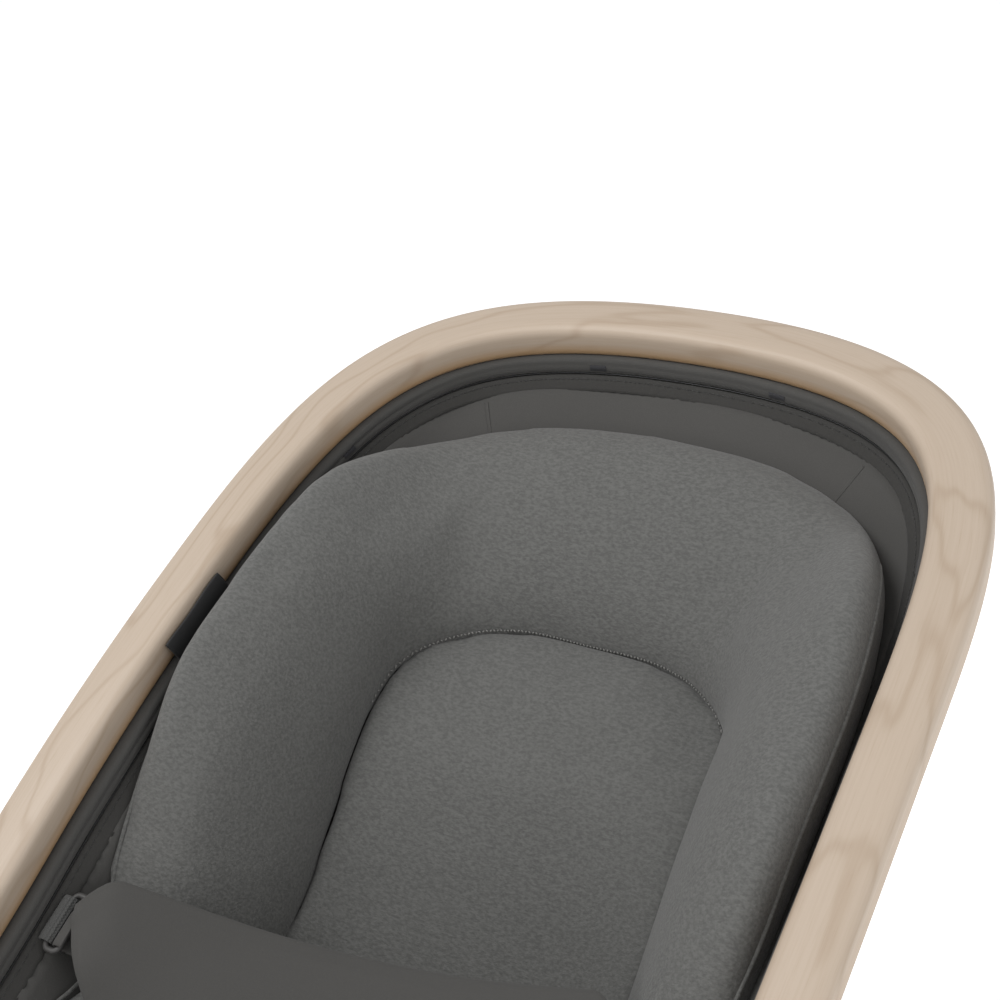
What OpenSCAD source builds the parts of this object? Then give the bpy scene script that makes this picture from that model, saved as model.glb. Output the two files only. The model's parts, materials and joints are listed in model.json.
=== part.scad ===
// Baby bouncer: an oval bent-wood ring that carries a fabric seat, on a rocking tube base.
// Millimetres, +Z up, origin on the floor under the middle of the ring, +Y towards the head end.
// "Left" is the side of the child's left hand, +X.

/* [Ring] */
// Overall width of the wooden ring
ring_w = 430; // [400:1:450]
// Length of the ring, measured along its side
ring_len = 800; // [780:1:830]
// Half width of the ring's section along the sides
wood_side = 15; // [13:0.5:17]
// Half width of the ring's section at the head
wood_head = 17; // [14:0.5:19]
// Half thickness of the ring's section
wood_half = 11.5; // [9:0.5:13]
// Height of the foot end of the ring above the floor
foot_h = 240; // [225:1:260]
// Slope of the ring at its head edge
head_slope = 21.2; // [18:0.1:24]
// Bending radius of the upper, convex part
head_r = 2000; // [1800:10:2400]
// Length of the upper part along the side
head_arc = 450; // [430:1:470]
// Slope of the ring at its foot edge
foot_slope = 3; // [1:0.5:5]

/* [Sling and insert] */
// Depth of the sling at its rim
rim_depth = 40; // [34:1:46]
// Greatest depth of the sling under the ring
sling_depth = 175; // [150:1:185]
// Thickness of the sling's cloth layers
sling_t = 3; // [2:0.5:4]
// Thickness of the insert at the seam between bolster and centre pad
seam_t = 26; // [20:1:32]
// Width of the harness webbing
web_w = 25; // [20:1:30]

/* [Base] */
// Distance of each rocker runner from the middle
runner_x = 165; // [160:1:168]
// Outer radius of the base tubes
tube_r = 10; // [9:0.5:11]
// Rocking radius at the runner's centreline
rock_r = 1000; // [900:10:1200]
// Distance along Y from the middle to a runner's end
runner_y = 270; // [262:1:285]
// Thickness of the rubber strip under a runner
strip_t = 4; // [3:0.5:5]
// Outer radius of the back strut's tubes
strut_r = 8; // [7:0.5:9]
// Place of the strut's cross bar at rest, along Y
bar_y = 160; // [155:1:165]
// Height of the strut's cross bar at rest
bar_z = 70; // [68:1:74]
// Full recline, downwards from the rest position
recline = 30; // [20:1:30]
// Degrees the strut turns against the seat for each degree of recline
strut_ratio = -1.868; // [-1.88:0.001:-1.86]

/* [Hidden] */
$fn = 48;

// --- side curve of the ring: s runs from the head edge to the foot edge ---
mid_slope = head_slope + head_arc / head_r * 180 / PI;
foot_r = (ring_len - head_arc) / ((mid_slope - foot_slope) * PI / 180);
function slope(s) = s < head_arc ? head_slope + s / head_r * 180 / PI
    : mid_slope - (s - head_arc) / foot_r * 180 / PI;
function side_y(s) = -head_r * (sin(slope(min(s, head_arc))) - sin(head_slope))
    - (s > head_arc ? foot_r * (sin(mid_slope) - sin(slope(s))) : 0);
function side_z(s) = -head_r * (cos(head_slope) - cos(slope(min(s, head_arc))))
    - (s > head_arc ? foot_r * (cos(slope(s)) - cos(mid_slope)) : 0);
head_y = -side_y(ring_len) / 2;
head_z = foot_h - side_z(ring_len);
// A point x across, s along and h above the ring's curved middle surface
function at(x, s, h) = [x, head_y + side_y(s) - h * sin(slope(s)), head_z + side_z(s) + h * cos(slope(s))];

// --- plan of the ring's centreline: half of it, as two Bezier curves ---
half_x = ring_w / 2 - wood_side;
join_s = 285;
head_pull = 205;
head_drop = 150;
foot_pull = 420;
foot_wide = 160;
function bez(p, t) = pow(1 - t, 3) * p[0] + 3 * pow(1 - t, 2) * t * p[1] + 3 * (1 - t) * t * t * p[2]
    + pow(t, 3) * p[3];
function bez_dir(p, t) = 3 * pow(1 - t, 2) * (p[1] - p[0]) + 6 * (1 - t) * t * (p[2] - p[1])
    + 3 * t * t * (p[3] - p[2]);
HEAD_CURVE = [[0, wood_head], [head_pull, wood_head], [half_x, join_s - head_drop], [half_x, join_s]];
FOOT_CURVE = [[half_x, join_s], [half_x, join_s + foot_pull], [foot_wide, ring_len - wood_side],
    [0, ring_len - wood_side]];
HEAD_N = 18;
FOOT_N = 22;
function unit(v) = v / norm(v);
// A station: x, s, then the outward normal in plan
function station(p, t, m) = let (q = bez(p, t), d = unit(bez_dir(p, t)), n = [d[1], -d[0]])
    [m * q[0], q[1], m * n[0], n[1]];
HALF = concat([for (i = [0 : HEAD_N - 1]) [HEAD_CURVE, i / HEAD_N]],
    [for (i = [0 : FOOT_N]) [FOOT_CURVE, i / FOOT_N]]);
LAST = len(HALF) - 1;
LOOP = concat([for (i = [0 : LAST]) station(HALF[i][0], HALF[i][1], 1)],
    [for (i = [LAST - 1 : -1 : 1]) station(HALF[i][0], HALF[i][1], -1)]);
function fade(s) = let (q = min(max(s / join_s, 0), 1)) 1 - q * q * (3 - 2 * q);
function half_wood(s) = wood_side + (wood_head - wood_side) * fade(s);

// Faces of a closed stack: n rings of m points, joined ring to ring and back to the first
function loop_faces(n, m) = [for (i = [0 : n - 1]) for (j = [0 : m - 1])
    for (f = [[i * m + j, ((i + 1) % n) * m + (j + 1) % m, i * m + (j + 1) % m],
        [i * m + j, ((i + 1) % n) * m + j, ((i + 1) % n) * m + (j + 1) % m]]) f];
// Faces of a stack with two closed ends
function stack_faces(n, m) = concat(
    [for (i = [0 : n - 2]) for (j = [0 : m - 1])
        for (f = [[i * m + j, i * m + (j + 1) % m, (i + 1) * m + (j + 1) % m],
            [i * m + j, (i + 1) * m + (j + 1) % m, (i + 1) * m + j]]) f],
    [[for (j = [m - 1 : -1 : 0]) j]], [[for (j = [0 : m - 1]) (n - 1) * m + j]]);

// A solid that follows the ring: section points are [outwards, up] from the ring's centreline
module around(section) {
    m = len(section);
    polyhedron([for (k = LOOP) for (p = section) at(k[0] + k[2] * p[0], k[1] + k[3] * p[0], p[1])],
        loop_faces(len(LOOP), m));
}

// --- sling surface: rim stations drawn in towards a spine ---
wall_in = 24.5;
spine_a = 300;
spine_b = 600;
deep_s = 470;
function rim(k) = [k[0] - k[2] * wall_in, k[1] - k[3] * wall_in];
function spine(k) = [0, min(max(rim(k)[1], spine_a), spine_b)];
function bed(s) = s < deep_s ? sling_depth - 55 * pow((deep_s - s) / (deep_s - spine_a), 2)
    : sling_depth - 30 * pow((s - deep_s) / (spine_b - deep_s), 2);
function wall_power(k) = 2.4 - fade(k[1]);
function plan_at(k, v) = rim(k) * (1 - v) + spine(k) * v;
function sling_h(k, v) = -rim_depth - (bed(spine(k)[1]) - rim_depth) * (1 - pow(1 - v, wall_power(k)));
function on_sling(k, v, up) = let (p = plan_at(k, v)) at(p[0], p[1], sling_h(k, v) + up);

// --- insert outlines, as shares of the way from the rim to the spine ---
head_gap = 0.135;
side_gap = 0.03;
foot_gap = 0.35;
// Room that the insert leaves beside the harness rings
strap_gap = 0.115;
strap_s = 472;
strap_spread = 35;
function ease(q) = let (c = max(0, min(1, q))) c * c * (3 - 2 * c);
function insert_v(k) = k[1] > spine_b ? side_gap + (foot_gap - side_gap) * pow((k[1] - spine_b) / 185, 2)
    : max(side_gap, head_gap - (k[1] - wood_head) * 0.0009)
    + strap_gap * exp(-pow((k[1] - strap_s) / strap_spread, 2));
function pad_v(k) = 0.449 + (k[1] > spine_b ? 0.33 * pow((k[1] - spine_b) / 185, 2)
    : 0.2 * pow(max(0, (250 - k[1]) / 233), 1.5));
// The insert's rounded edge: low at the head, proud of the ring beside the shoulders
head_crest = -28;
shoulder_rise = 38;
hip_drop = 34;
edge_round = 30;
function crest_h(k) = head_crest + shoulder_rise * ease((k[1] - 50) / 120)
    - hip_drop * ease((k[1] - 345) / 120) - 0.15 * max(0, k[1] - 400);
function edge_h(k) = max(crest_h(k) - edge_round, sling_h(k, insert_v(k)) + 4);
function seam_h(k) = sling_h(k, pad_v(k)) + seam_t;
crest_at = 0.16;
function bolster_h(k, u) = u < crest_at
    ? edge_h(k) + (crest_h(k) - edge_h(k)) * sqrt(1 - pow(1 - u / crest_at, 2))
    : crest_h(k) - (crest_h(k) - seam_h(k)) * pow((u - crest_at) / (1 - crest_at), 1.6);
function insert_at(k, u) = insert_v(k) + (pad_v(k) - insert_v(k)) * u;
function bolster_top(k, u) = let (v = insert_at(k, u), p = plan_at(k, v)) at(p[0], p[1], bolster_h(k, u));

// --- hinge places ---
front_s = 600;
front_x = 186.5;
front_drop = 50;
rear_s = 450;
rear_x = 196.5;
rear_drop = 40;
FRONT = at(0, front_s, -front_drop);
REAR = at(0, rear_s, -rear_drop);
STRUT_LEN = norm([bar_y - REAR[1], bar_z - REAR[2]]);
STRUT_A = atan2(bar_z - REAR[2], bar_y - REAR[1]);
hub_off = 3;
fit_gap = 0.05;
// The ring's own frame at s: Y towards the head along the ring, Z out of its surface
module on_ring(s) {
    translate(at(0, s, 0)) rotate([slope(s), 0, 0]) children();
}
// A point given in that frame
function in_ring(s, y, z) = at(0, s, 0)
    + [0, y * cos(slope(s)) - z * sin(slope(s)), y * sin(slope(s)) + z * cos(slope(s))];
module both_sides() {
    children();
    mirror([1, 0, 0]) children();
}
// A cylinder along X, from x0 to x1
module xcyl(r, x0, x1) {
    translate([x0, 0, 0]) rotate([0, 90, 0]) cylinder(r = r, h = x1 - x0);
}
// A flat shape drawn in Y and Z, extruded from x0 to x1
module side_plate(x0, x1) {
    translate([x0, 0, 0]) rotate([90, 0, 90]) linear_extrude(height = x1 - x0) children();
}

// ============================ seat: wood and metal ============================
section_n = 20;
section_power = 2 / 2.6;
function sgn_pow(v) = sign(v) * pow(abs(v), section_power);
module wood_ring() {
    color([0.80, 0.72, 0.62])
    polyhedron([for (k = LOOP) for (j = [0 : section_n - 1])
        let (a = 360 * j / section_n, o = half_wood(k[1]) * sgn_pow(cos(a)), h = wood_half * sgn_pow(sin(a)))
        at(k[0] + k[2] * o, k[1] + k[3] * o, h)], loop_faces(len(LOOP), section_n));
}

rod_r = 3;
rod_in = 16.4;
rod_h = -15.5;
module sling_frame() {
    color([0.16, 0.16, 0.17])
    around([for (j = [0 : 9]) [-rod_in + rod_r * cos(36 * j), rod_h + rod_r * sin(36 * j)]]);
}

CLIP_STATIONS = [2, 12, 24, 34];
clip_w = 10;
clip_t = 1;
clip_gap = 0.7;
// The frame at a station on the ring: X outwards, Y up, Z along the ring
module at_station(k) {
    b = slope(k[1]);
    n = [k[2], -k[3] * cos(b), -k[3] * sin(b)];
    u = [0, -sin(b), cos(b)];
    t = cross(n, u);
    o = at(k[0], k[1], 0);
    multmatrix([[n[0], u[0], t[0], o[0]], [n[1], u[1], t[1], o[1]], [n[2], u[2], t[2], o[2]],
        [0, 0, 0, 1]]) children();
}
module clip() {
    difference() {
        clip_strip();
        translate([-4, 0, 0]) rotate([90, 0, 0]) cylinder(r = screw_r + 0.2, h = 20);
    }
}
module clip_strip() {
    translate([0, 0, -clip_w / 2]) linear_extrude(height = clip_w) {
        difference() {
            translate([-rod_in, rod_h]) circle(rod_r + clip_gap + clip_t);
            translate([-rod_in, rod_h]) circle(rod_r + clip_gap);
            translate([-rod_in - 6, rod_h + 1.5]) square([16, 6]);
        }
        translate([-rod_in + 2.8, rod_h + 1.3]) square([clip_t, 2.1]);
        translate([-rod_in + 2.8, rod_h + 2.4]) square([16, clip_t]);
    }
}
module frame_clips() {
    color([0.2, 0.2, 0.21])
    for (i = CLIP_STATIONS) {
        at_station(LOOP[i]) clip();
        mirror([1, 0, 0]) at_station(LOOP[i]) clip();
    }
}

screw_r = 2;
module wood_screw(z0) {
    translate([0, 0, z0]) cylinder(r = 4, h = 2);
    translate([0, 0, z0 + 1.9]) cylinder(r = screw_r, h = 12);
}
BRACKET_SCREWS = [-15, 15];
module ring_screws() {
    color([0.55, 0.55, 0.56])
    both_sides() {
        for (y = BRACKET_SCREWS) {
            on_ring(front_s) translate([front_x + hub_off, y, 0]) wood_screw(-17.1);
            on_ring(rear_s) translate([rear_x + hub_off, y, 0]) wood_screw(-17.1);
        }
        for (i = CLIP_STATIONS) {
            at_station(LOOP[i]) translate([-4, 0, 0]) rotate([-90, 0, 0]) wood_screw(-15.45);
        }
    }
}

plate_t = 3;
plate_gap = 10;
plate_len = 44;
ear_r = 15;
// A steel U bracket under the ring: a plate against the wood and two ears that hold an axle
module bracket(x, drop, bore_r) {
    translate([x + hub_off, 0, 0]) difference() {
        union() {
            translate([-plate_gap - plate_t, -plate_len / 2, -15])
                cube([2 * (plate_gap + plate_t), plate_len, plate_t]);
            for (x0 = [-plate_gap - plate_t, plate_gap]) {
                side_plate(x0, x0 + plate_t) {
                    translate([0, -drop]) circle(ear_r);
                    polygon([[-ear_r, -drop], [ear_r, -drop], [plate_len / 2, -13], [-plate_len / 2, -13]]);
                }
            }
        }
        translate([0, 0, -drop]) xcyl(bore_r, -20, 20);
        for (y = BRACKET_SCREWS) {
            translate([0, y, -16]) cylinder(r = screw_r + 0.2, h = 6);
        }
    }
}
bolt_r = 5;
axle_r = 8;
module front_bracket_left() {
    color([0.17, 0.17, 0.18]) on_ring(front_s) bracket(front_x, front_drop, bolt_r + fit_gap);
}
module front_bracket_right() {
    mirror([1, 0, 0]) front_bracket_left();
}
module rear_bracket_left() {
    color([0.17, 0.17, 0.18]) on_ring(rear_s) bracket(rear_x, rear_drop, axle_r + fit_gap);
}
module rear_bracket_right() {
    mirror([1, 0, 0]) rear_bracket_left();
}

stem_r = 4;
// Hollow axles that carry the back strut; a release button's stem slides inside each
module strut_axles() {
    color([0.6, 0.6, 0.62])
    both_sides() {
        translate([rear_x + hub_off, REAR[1], REAR[2]]) difference() {
            union() {
                xcyl(axle_r, -plate_gap - plate_t - 0.2, plate_gap + plate_t);
                xcyl(axle_r + 3, -plate_gap - plate_t - 2.2, -plate_gap - plate_t - 0.1);
            }
            xcyl(stem_r + 0.5, -20, 20);
        }
    }
}
disc_r = 17;
detent_at = 12.5;
DETENTS = [0, 22, 44];
module detent_discs() {
    color([0.62, 0.62, 0.64])
    both_sides() {
        translate([rear_x + hub_off, REAR[1], REAR[2]]) difference() {
            xcyl(disc_r, 7.6, 9.7);
            xcyl(axle_r + 0.1, 5, 12);
            for (a = DETENTS) {
                rotate([a - 60, 0, 0]) translate([0, detent_at, 0]) xcyl(2.1, 5, 12);
            }
        }
    }
}
cover_r = 19;
button_r = 13;
module lock_cover_left() {
    color([0.15, 0.15, 0.16])
    translate([rear_x + hub_off, REAR[1], REAR[2]]) difference() {
        union() {
            xcyl(cover_r, 13.1, 19);
            xcyl(cover_r - 1.5, 13.1, 20.5);
        }
        xcyl(button_r + 0.4, 14.6, 25);
        xcyl(stem_r + 0.5, 10, 25);
    }
}
module lock_cover_right() {
    mirror([1, 0, 0]) lock_cover_left();
}
module release_button_left() {
    color([0.36, 0.36, 0.37])
    translate([rear_x + hub_off, REAR[1], REAR[2]]) {
        xcyl(button_r, 19.2, 21.5);
        xcyl(button_r - 1.2, 21.4, 22.5);
        xcyl(stem_r, -9, 19.3);
    }
}
module release_button_right() {
    mirror([1, 0, 0]) release_button_left();
}
// Wave washers that push the buttons out again
module button_springs() {
    color([0.7, 0.7, 0.72])
    both_sides() {
        translate([rear_x + hub_off, REAR[1], REAR[2]]) difference() {
            xcyl(button_r - 1, 14.65, 15.1);
            xcyl(stem_r + 1.5, 10, 25);
        }
    }
}

// ============================ seat: cloth ============================
module sling() {
    color([0.31, 0.31, 0.305])
    lid_and_floor([for (v = SLING_V) for (k = LOOP) on_sling(k, v, 0)],
        [for (v = SLING_V) for (k = LOOP) on_sling(k, v, -sling_t)], len(LOOP));
}
SLING_STEPS = 9;
SLING_V = [for (i = [0 : SLING_STEPS]) 0.94 * pow(i / SLING_STEPS, 1.2)];
// A closed solid between an upper and a lower sheet; both are rings of m points, drawn inwards
module lid_and_floor(top, low, m) {
    n = len(top) / m;
    all = n * m;
    polyhedron(concat(top, low), concat(
        [for (i = [0 : n - 2]) for (j = [0 : m - 1])
            for (f = [[i * m + j, i * m + (j + 1) % m, (i + 1) * m + (j + 1) % m],
                [i * m + j, (i + 1) * m + (j + 1) % m, (i + 1) * m + j]]) f],
        [for (i = [0 : n - 2]) for (j = [0 : m - 1])
            for (f = [[all + i * m + j, all + (i + 1) * m + (j + 1) % m, all + i * m + (j + 1) % m],
                [all + i * m + j, all + (i + 1) * m + j, all + (i + 1) * m + (j + 1) % m]]) f],
        [for (j = [0 : m - 1])
            for (f = [[j, all + (j + 1) % m, (j + 1) % m], [j, all + j, all + (j + 1) % m]]) f],
        ladder(all - m, m, false), ladder(2 * all - m, m, true)));
}
// Triangles that close a mirror-symmetric ring of m points, from side to side
function ladder(o, m, flip) = [for (j = [0 : m / 2 - 1])
    let (a = j, b = j + 1, c = (m - j - 1) % m, d = (m - j) % m)
    for (f = (j == 0 ? [[a, b, c]] : (j == m / 2 - 1 ? [[a, b, d]] : [[a, b, c], [a, c, d]])))
        flip ? [o + f[0], o + f[2], o + f[1]] : [o + f[0], o + f[1], o + f[2]]];

module sling_band() {
    color([0.25, 0.25, 0.245]) around([[-24.5, -22.2], [-21.3, -22.2], [-21.3, -8], [-24.5, -8]]);
}
module zip_tape() {
    color([0.27, 0.27, 0.265]) around([[-24.5, -39.6], [-21.3, -39.6], [-21.3, -22.5], [-24.5, -22.5]]);
}
module zip_chain() {
    color([0.12, 0.12, 0.12]) around([[-26.6, -25.4], [-24.8, -25.4], [-24.8, -21.6], [-26.6, -21.6]]);
}
SLIDE_S = LOOP[LAST][1] - wall_in;
module zip_slider() {
    color([0.3, 0.3, 0.31])
    on_ring(SLIDE_S) difference() {
        union() {
            translate([-4.5, 2.4, -29]) cube([9, 4.2, 10]);
            for (x = [-3.8, 2.6]) {
                translate([x, 6.5, -22]) cube([1.2, 3.9, 3.8]);
            }
        }
        translate([0, 8.8, -20]) xcyl(1 + fit_gap, -6, 6);
    }
}
PULL = in_ring(SLIDE_S, 8.8, -20);
module zip_pull() {
    color([0.3, 0.3, 0.31])
    translate(PULL) {
        translate([-2.2, -0.8, -22]) cube([4.4, 1.6, 22]);
        xcyl(1, -3.7, 3.7);
    }
}

// A solid between two shares of the way across the insert; u0 and u1 are on the bolster
BOLSTER_U = [0, 0.02, 0.06, 0.11, 0.16, 0.3, 0.5, 0.75, 0.97];
module insert_bolster() {
    color([0.41, 0.41, 0.405])
    polyhedron([for (k = LOOP) for (j = [0 : 2 * len(BOLSTER_U) - 1])
        let (n = len(BOLSTER_U), u = BOLSTER_U[j < n ? j : 2 * n - 1 - j])
        j < n ? bolster_top(k, u) : on_sling(k, insert_at(k, u), 3)],
        loop_faces(len(LOOP), 2 * len(BOLSTER_U)));
}
pad_crown = 6;
PAD_U = [0.01, 0.1, 0.3, 0.6, 0.85];
function pad_share(k, u) = pad_v(k) + (1 - pad_v(k)) * u;
function pad_up(u) = seam_t - 3 + pad_crown * (1 - pow(1 - u, 3));
module insert_pad() {
    color([0.42, 0.42, 0.415])
    lid_and_floor([for (u = PAD_U) for (k = LOOP) on_sling(k, pad_share(k, u), pad_up(u))],
        [for (u = PAD_U) for (k = LOOP) on_sling(k, pad_share(k, u), 3)], len(LOOP));
}

// --- harness: belly panel, webbing, rings, crotch strap and buckle ---
panel_top = 447;
panel_end = 590;
panel_half = 166;
panel_neck = 32;
panel_t = 4;
panel_edge_h = -6;
panel_mid_h = -68;
panel_fall = 40;
// The top edge dips towards the head on one side
dip = 35;
dip_x = 100;
dip_w = 90;
PANEL_N = 10;
PANEL_M = 12;
function panel_w(t) = panel_half - (panel_half - panel_neck) * pow(t, 1.3);
function panel_side(t) = panel_edge_h - panel_fall * t;
function panel_h(x, t) = panel_side(t)
    + (panel_mid_h - panel_side(t)) * (1 - pow(x / panel_w(t), 2)) * (1 - 0.55 * t);
function panel_edge_s(x) = panel_top - dip * exp(-pow((x - dip_x) / dip_w, 2));
function panel_at(i, j, up) =
    let (t = i / PANEL_N, x = panel_w(t) * (2 * j / PANEL_M - 1), s0 = panel_edge_s(x))
    at(x, s0 + (panel_end - s0) * t, panel_h(x, t) + up);
module harness_panel() {
    color([0.30, 0.30, 0.295])
    polyhedron([for (i = [0 : PANEL_N]) for (j = [0 : 2 * PANEL_M + 1])
        j <= PANEL_M ? panel_at(i, j, panel_t) : panel_at(i, 2 * PANEL_M + 1 - j, 0)],
        stack_faces(PANEL_N + 1, 2 * PANEL_M + 2));
}

WEB_S = strap_s;
ring_in = 156;
ring_out = 168;
ring_bar = 3;
ring_half = 16;
ring_h = -24;
web_t = 2.4;
web_low = -46;
web_high = -19;
module webbing_left() {
    color([0.22, 0.22, 0.22])
    on_ring(WEB_S) translate([(ring_in + ring_out - web_t) / 2, -web_w / 2, web_low])
        cube([web_t, web_w, web_high - web_low]);
}
module webbing_right() {
    mirror([1, 0, 0]) webbing_left();
}
// A flat rectangular ring that links webbing and belly panel
module strap_ring_left() {
    color([0.33, 0.33, 0.335])
    on_ring(WEB_S) translate([ring_in, -ring_half, ring_h]) difference() {
        cube([ring_out - ring_in, 2 * ring_half, ring_bar]);
        translate([ring_bar, ring_bar, -1])
            cube([ring_out - ring_in - 2 * ring_bar, 2 * (ring_half - ring_bar), 6]);
    }
}
module strap_ring_right() {
    mirror([1, 0, 0]) strap_ring_left();
}

BUCKLE_S = 615;
buckle_h = -72;
module buckle_body() {
    color([0.16, 0.16, 0.165])
    on_ring(BUCKLE_S) translate([0, 0, buckle_h]) difference() {
        linear_extrude(height = 13) offset(r = 8) square([36, 30], center = true);
        translate([0, 0, 7]) cylinder(r = 13.3, h = 10);
        translate([-13, 16, 3]) cube([26, 10, 6]);
    }
}
module buckle_button() {
    color([0.38, 0.38, 0.39])
    on_ring(BUCKLE_S) translate([0, 0, buckle_h]) {
        translate([0, 0, 10.5]) cylinder(r = 13, h = 3);
        translate([0, 0, 13.4]) cylinder(r = 11.8, h = 0.8);
    }
}
module buckle_tongue() {
    color([0.16, 0.16, 0.165])
    on_ring(BUCKLE_S) translate([0, 0, buckle_h]) {
        translate([-12.5, 16.4, 3.4]) cube([25, 12, 5.2]);
        translate([-16, 28.3, 3]) cube([32, 5, 6]);
    }
}
module crotch_strap() {
    color([0.22, 0.22, 0.22])
    on_ring(BUCKLE_S) translate([-web_w / 2, -34, buckle_h - 3]) cube([web_w, 44, 2.6]);
}

// A woven tag along the inner edge of the ring
TAG_STATION = 18;
tag_len = 52;
module side_tag() {
    color([0.11, 0.11, 0.11])
    mirror([1, 0, 0]) at_station(LOOP[TAG_STATION]) translate([-wood_side - 5.4, -9, -12])
        cube([1.2, 13, tag_len]);
}

// ============================ back strut ============================
module strut_leg_left() {
    color([0.2, 0.2, 0.21])
    translate([rear_x + hub_off, REAR[1], REAR[2]]) rotate([STRUT_A, 0, 0]) rotate([-90, 0, 0])
    translate([0, 0, 21]) difference() {
        cylinder(r = strut_r, h = STRUT_LEN - 39);
        translate([0, 0, -1]) cylinder(r = strut_r - 1.5, h = STRUT_LEN);
    }
}
module strut_leg_right() {
    mirror([1, 0, 0]) strut_leg_left();
}
hub_r = 18;
hub_half = 9.5;
module strut_hub_left() {
    color([0.15, 0.15, 0.16])
    translate([rear_x + hub_off, REAR[1], REAR[2]]) difference() {
        union() {
            xcyl(hub_r, -hub_half, 7.2);
            rotate([STRUT_A, 0, 0]) rotate([-90, 0, 0]) cylinder(r = 7, h = 24);
            rotate([STRUT_A, 0, 0]) rotate([-90, 0, 0]) translate([0, 0, 18.5])
                cylinder(r = strut_r + 1.4, h = 26);
        }
        xcyl(axle_r + fit_gap, -20, 20);
        rotate([STRUT_A, 0, 0]) rotate([-90, 0, 0]) translate([0, 0, 20.5])
            cylinder(r = strut_r + 0.1, h = 60);
        rotate([-60, 0, 0]) translate([0, detent_at, 0]) xcyl(2.1, -2, 10);
    }
}
module strut_hub_right() {
    mirror([1, 0, 0]) strut_hub_left();
}
module detent_pins() {
    color([0.7, 0.7, 0.72])
    both_sides() {
        translate([rear_x + hub_off, REAR[1], REAR[2]]) rotate([-60, 0, 0]) translate([0, detent_at, 0])
            xcyl(2, -1.8, 7.3);
    }
}
bar_r = 6;
knuckle_r = 13;
module strut_knuckles() {
    color([0.15, 0.15, 0.16])
    both_sides() {
        translate([rear_x + hub_off, bar_y, bar_z]) difference() {
            union() {
                xcyl(knuckle_r, -10.5, 10.5);
                rotate([STRUT_A, 0, 0]) rotate([90, 0, 0]) cylinder(r = strut_r + 1.4, h = 40);
            }
            xcyl(bar_r + 0.1, -20, 20);
            rotate([STRUT_A, 0, 0]) rotate([90, 0, 0]) translate([0, 0, 17.8])
                cylinder(r = strut_r + 0.1, h = 60);
        }
    }
}
module cross_bar() {
    color([0.6, 0.6, 0.62])
    translate([0, bar_y, bar_z]) xcyl(bar_r, -rear_x - 11, rear_x + 11);
}
sleeve_r = 9;
rail_half = 7;
module bar_sleeves() {
    color([0.9, 0.9, 0.88])
    both_sides() {
        translate([runner_x, bar_y, bar_z]) difference() {
            xcyl(sleeve_r, -rail_half - 2, rail_half + 2);
            xcyl(bar_r + 0.1, -20, 20);
        }
    }
}

// ============================ base ============================
rock_z = rock_r + tube_r + strip_t;
end_a = asin(runner_y / rock_r);
end_z = rock_z - rock_r * cos(end_a);
tube_wall = 1.5;
function rock_at(y) = rock_z - sqrt(rock_r * rock_r - y * y);
// A section bent along the rocking arc: drawn with X outwards along the radius and Y across
module rocker_arc(a) {
    translate([runner_x, 0, rock_z]) rotate([90, 0, 90]) rotate([0, 0, -90 - a])
        rotate_extrude(angle = 2 * a, $fn = 720) children();
}
stop_y = 245;
stop_pin_r = 3;
module runner_left() {
    color([0.2, 0.2, 0.21])
    difference() {
        rocker_arc(end_a) translate([rock_r, 0]) difference() {
            circle(tube_r, $fn = 48);
            circle(tube_r - tube_wall, $fn = 48);
        }
        for (y = [-stop_y, stop_y]) {
            translate([runner_x, y, rock_at(stop_y)]) xcyl(stop_pin_r + 0.1, -20, 20);
        }
    }
}
module runner_right() {
    mirror([1, 0, 0]) runner_left();
}
strip_a = 13;
module runner_strips() {
    color([0.08, 0.08, 0.08])
    both_sides() {
        rocker_arc(strip_a) translate([rock_r, 0]) difference() {
            translate([tube_r - 4, -6]) square([strip_t + 4, 12]);
            circle(tube_r + 0.1, $fn = 48);
        }
    }
}
bend_r = 45;
module end_tube() {
    module tube_bore(r) {
        translate([-runner_x + bend_r, bend_r, 0]) rotate([0, 90, 0])
            cylinder(r = r, h = 2 * (runner_x - bend_r));
        both_sides() {
            translate([runner_x - bend_r, 0, 0]) rotate_extrude(angle = 90) translate([bend_r, 0]) circle(r);
        }
    }
    tube_bore(tube_r);
}
module rear_cross_tube() {
    color([0.2, 0.2, 0.21]) translate([0, runner_y, end_z]) rotate([end_a, 0, 0]) translate([0, 0.2, 0])
        end_tube();
}
module front_cross_tube() {
    mirror([0, 1, 0]) rear_cross_tube();
}
module four_ends() {
    both_sides() {
        translate([runner_x, runner_y, end_z]) rotate([end_a, 0, 0]) children();
        mirror([0, 1, 0]) translate([runner_x, runner_y, end_z]) rotate([end_a, 0, 0]) children();
    }
}
module tube_collars() {
    color([0.13, 0.13, 0.135])
    four_ends() {
        translate([0, -0.2, 0]) rotate([90, 0, 0]) difference() {
            cylinder(r = tube_r + 2.2, h = 16);
            translate([0, 0, -1]) cylinder(r = tube_r + 0.25, h = 20);
        }
    }
}
module tube_plugs() {
    color([0.3, 0.3, 0.3])
    four_ends() {
        translate([0, -0.2, 0]) rotate([90, 0, 0]) cylinder(r = tube_r - tube_wall - 0.5, h = 18);
    }
}
leg_y = -120;
LEG_LOW = [runner_x, leg_y, rock_at(leg_y)];
LEG_TOP = [front_x + hub_off, FRONT[1], FRONT[2]];
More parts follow.
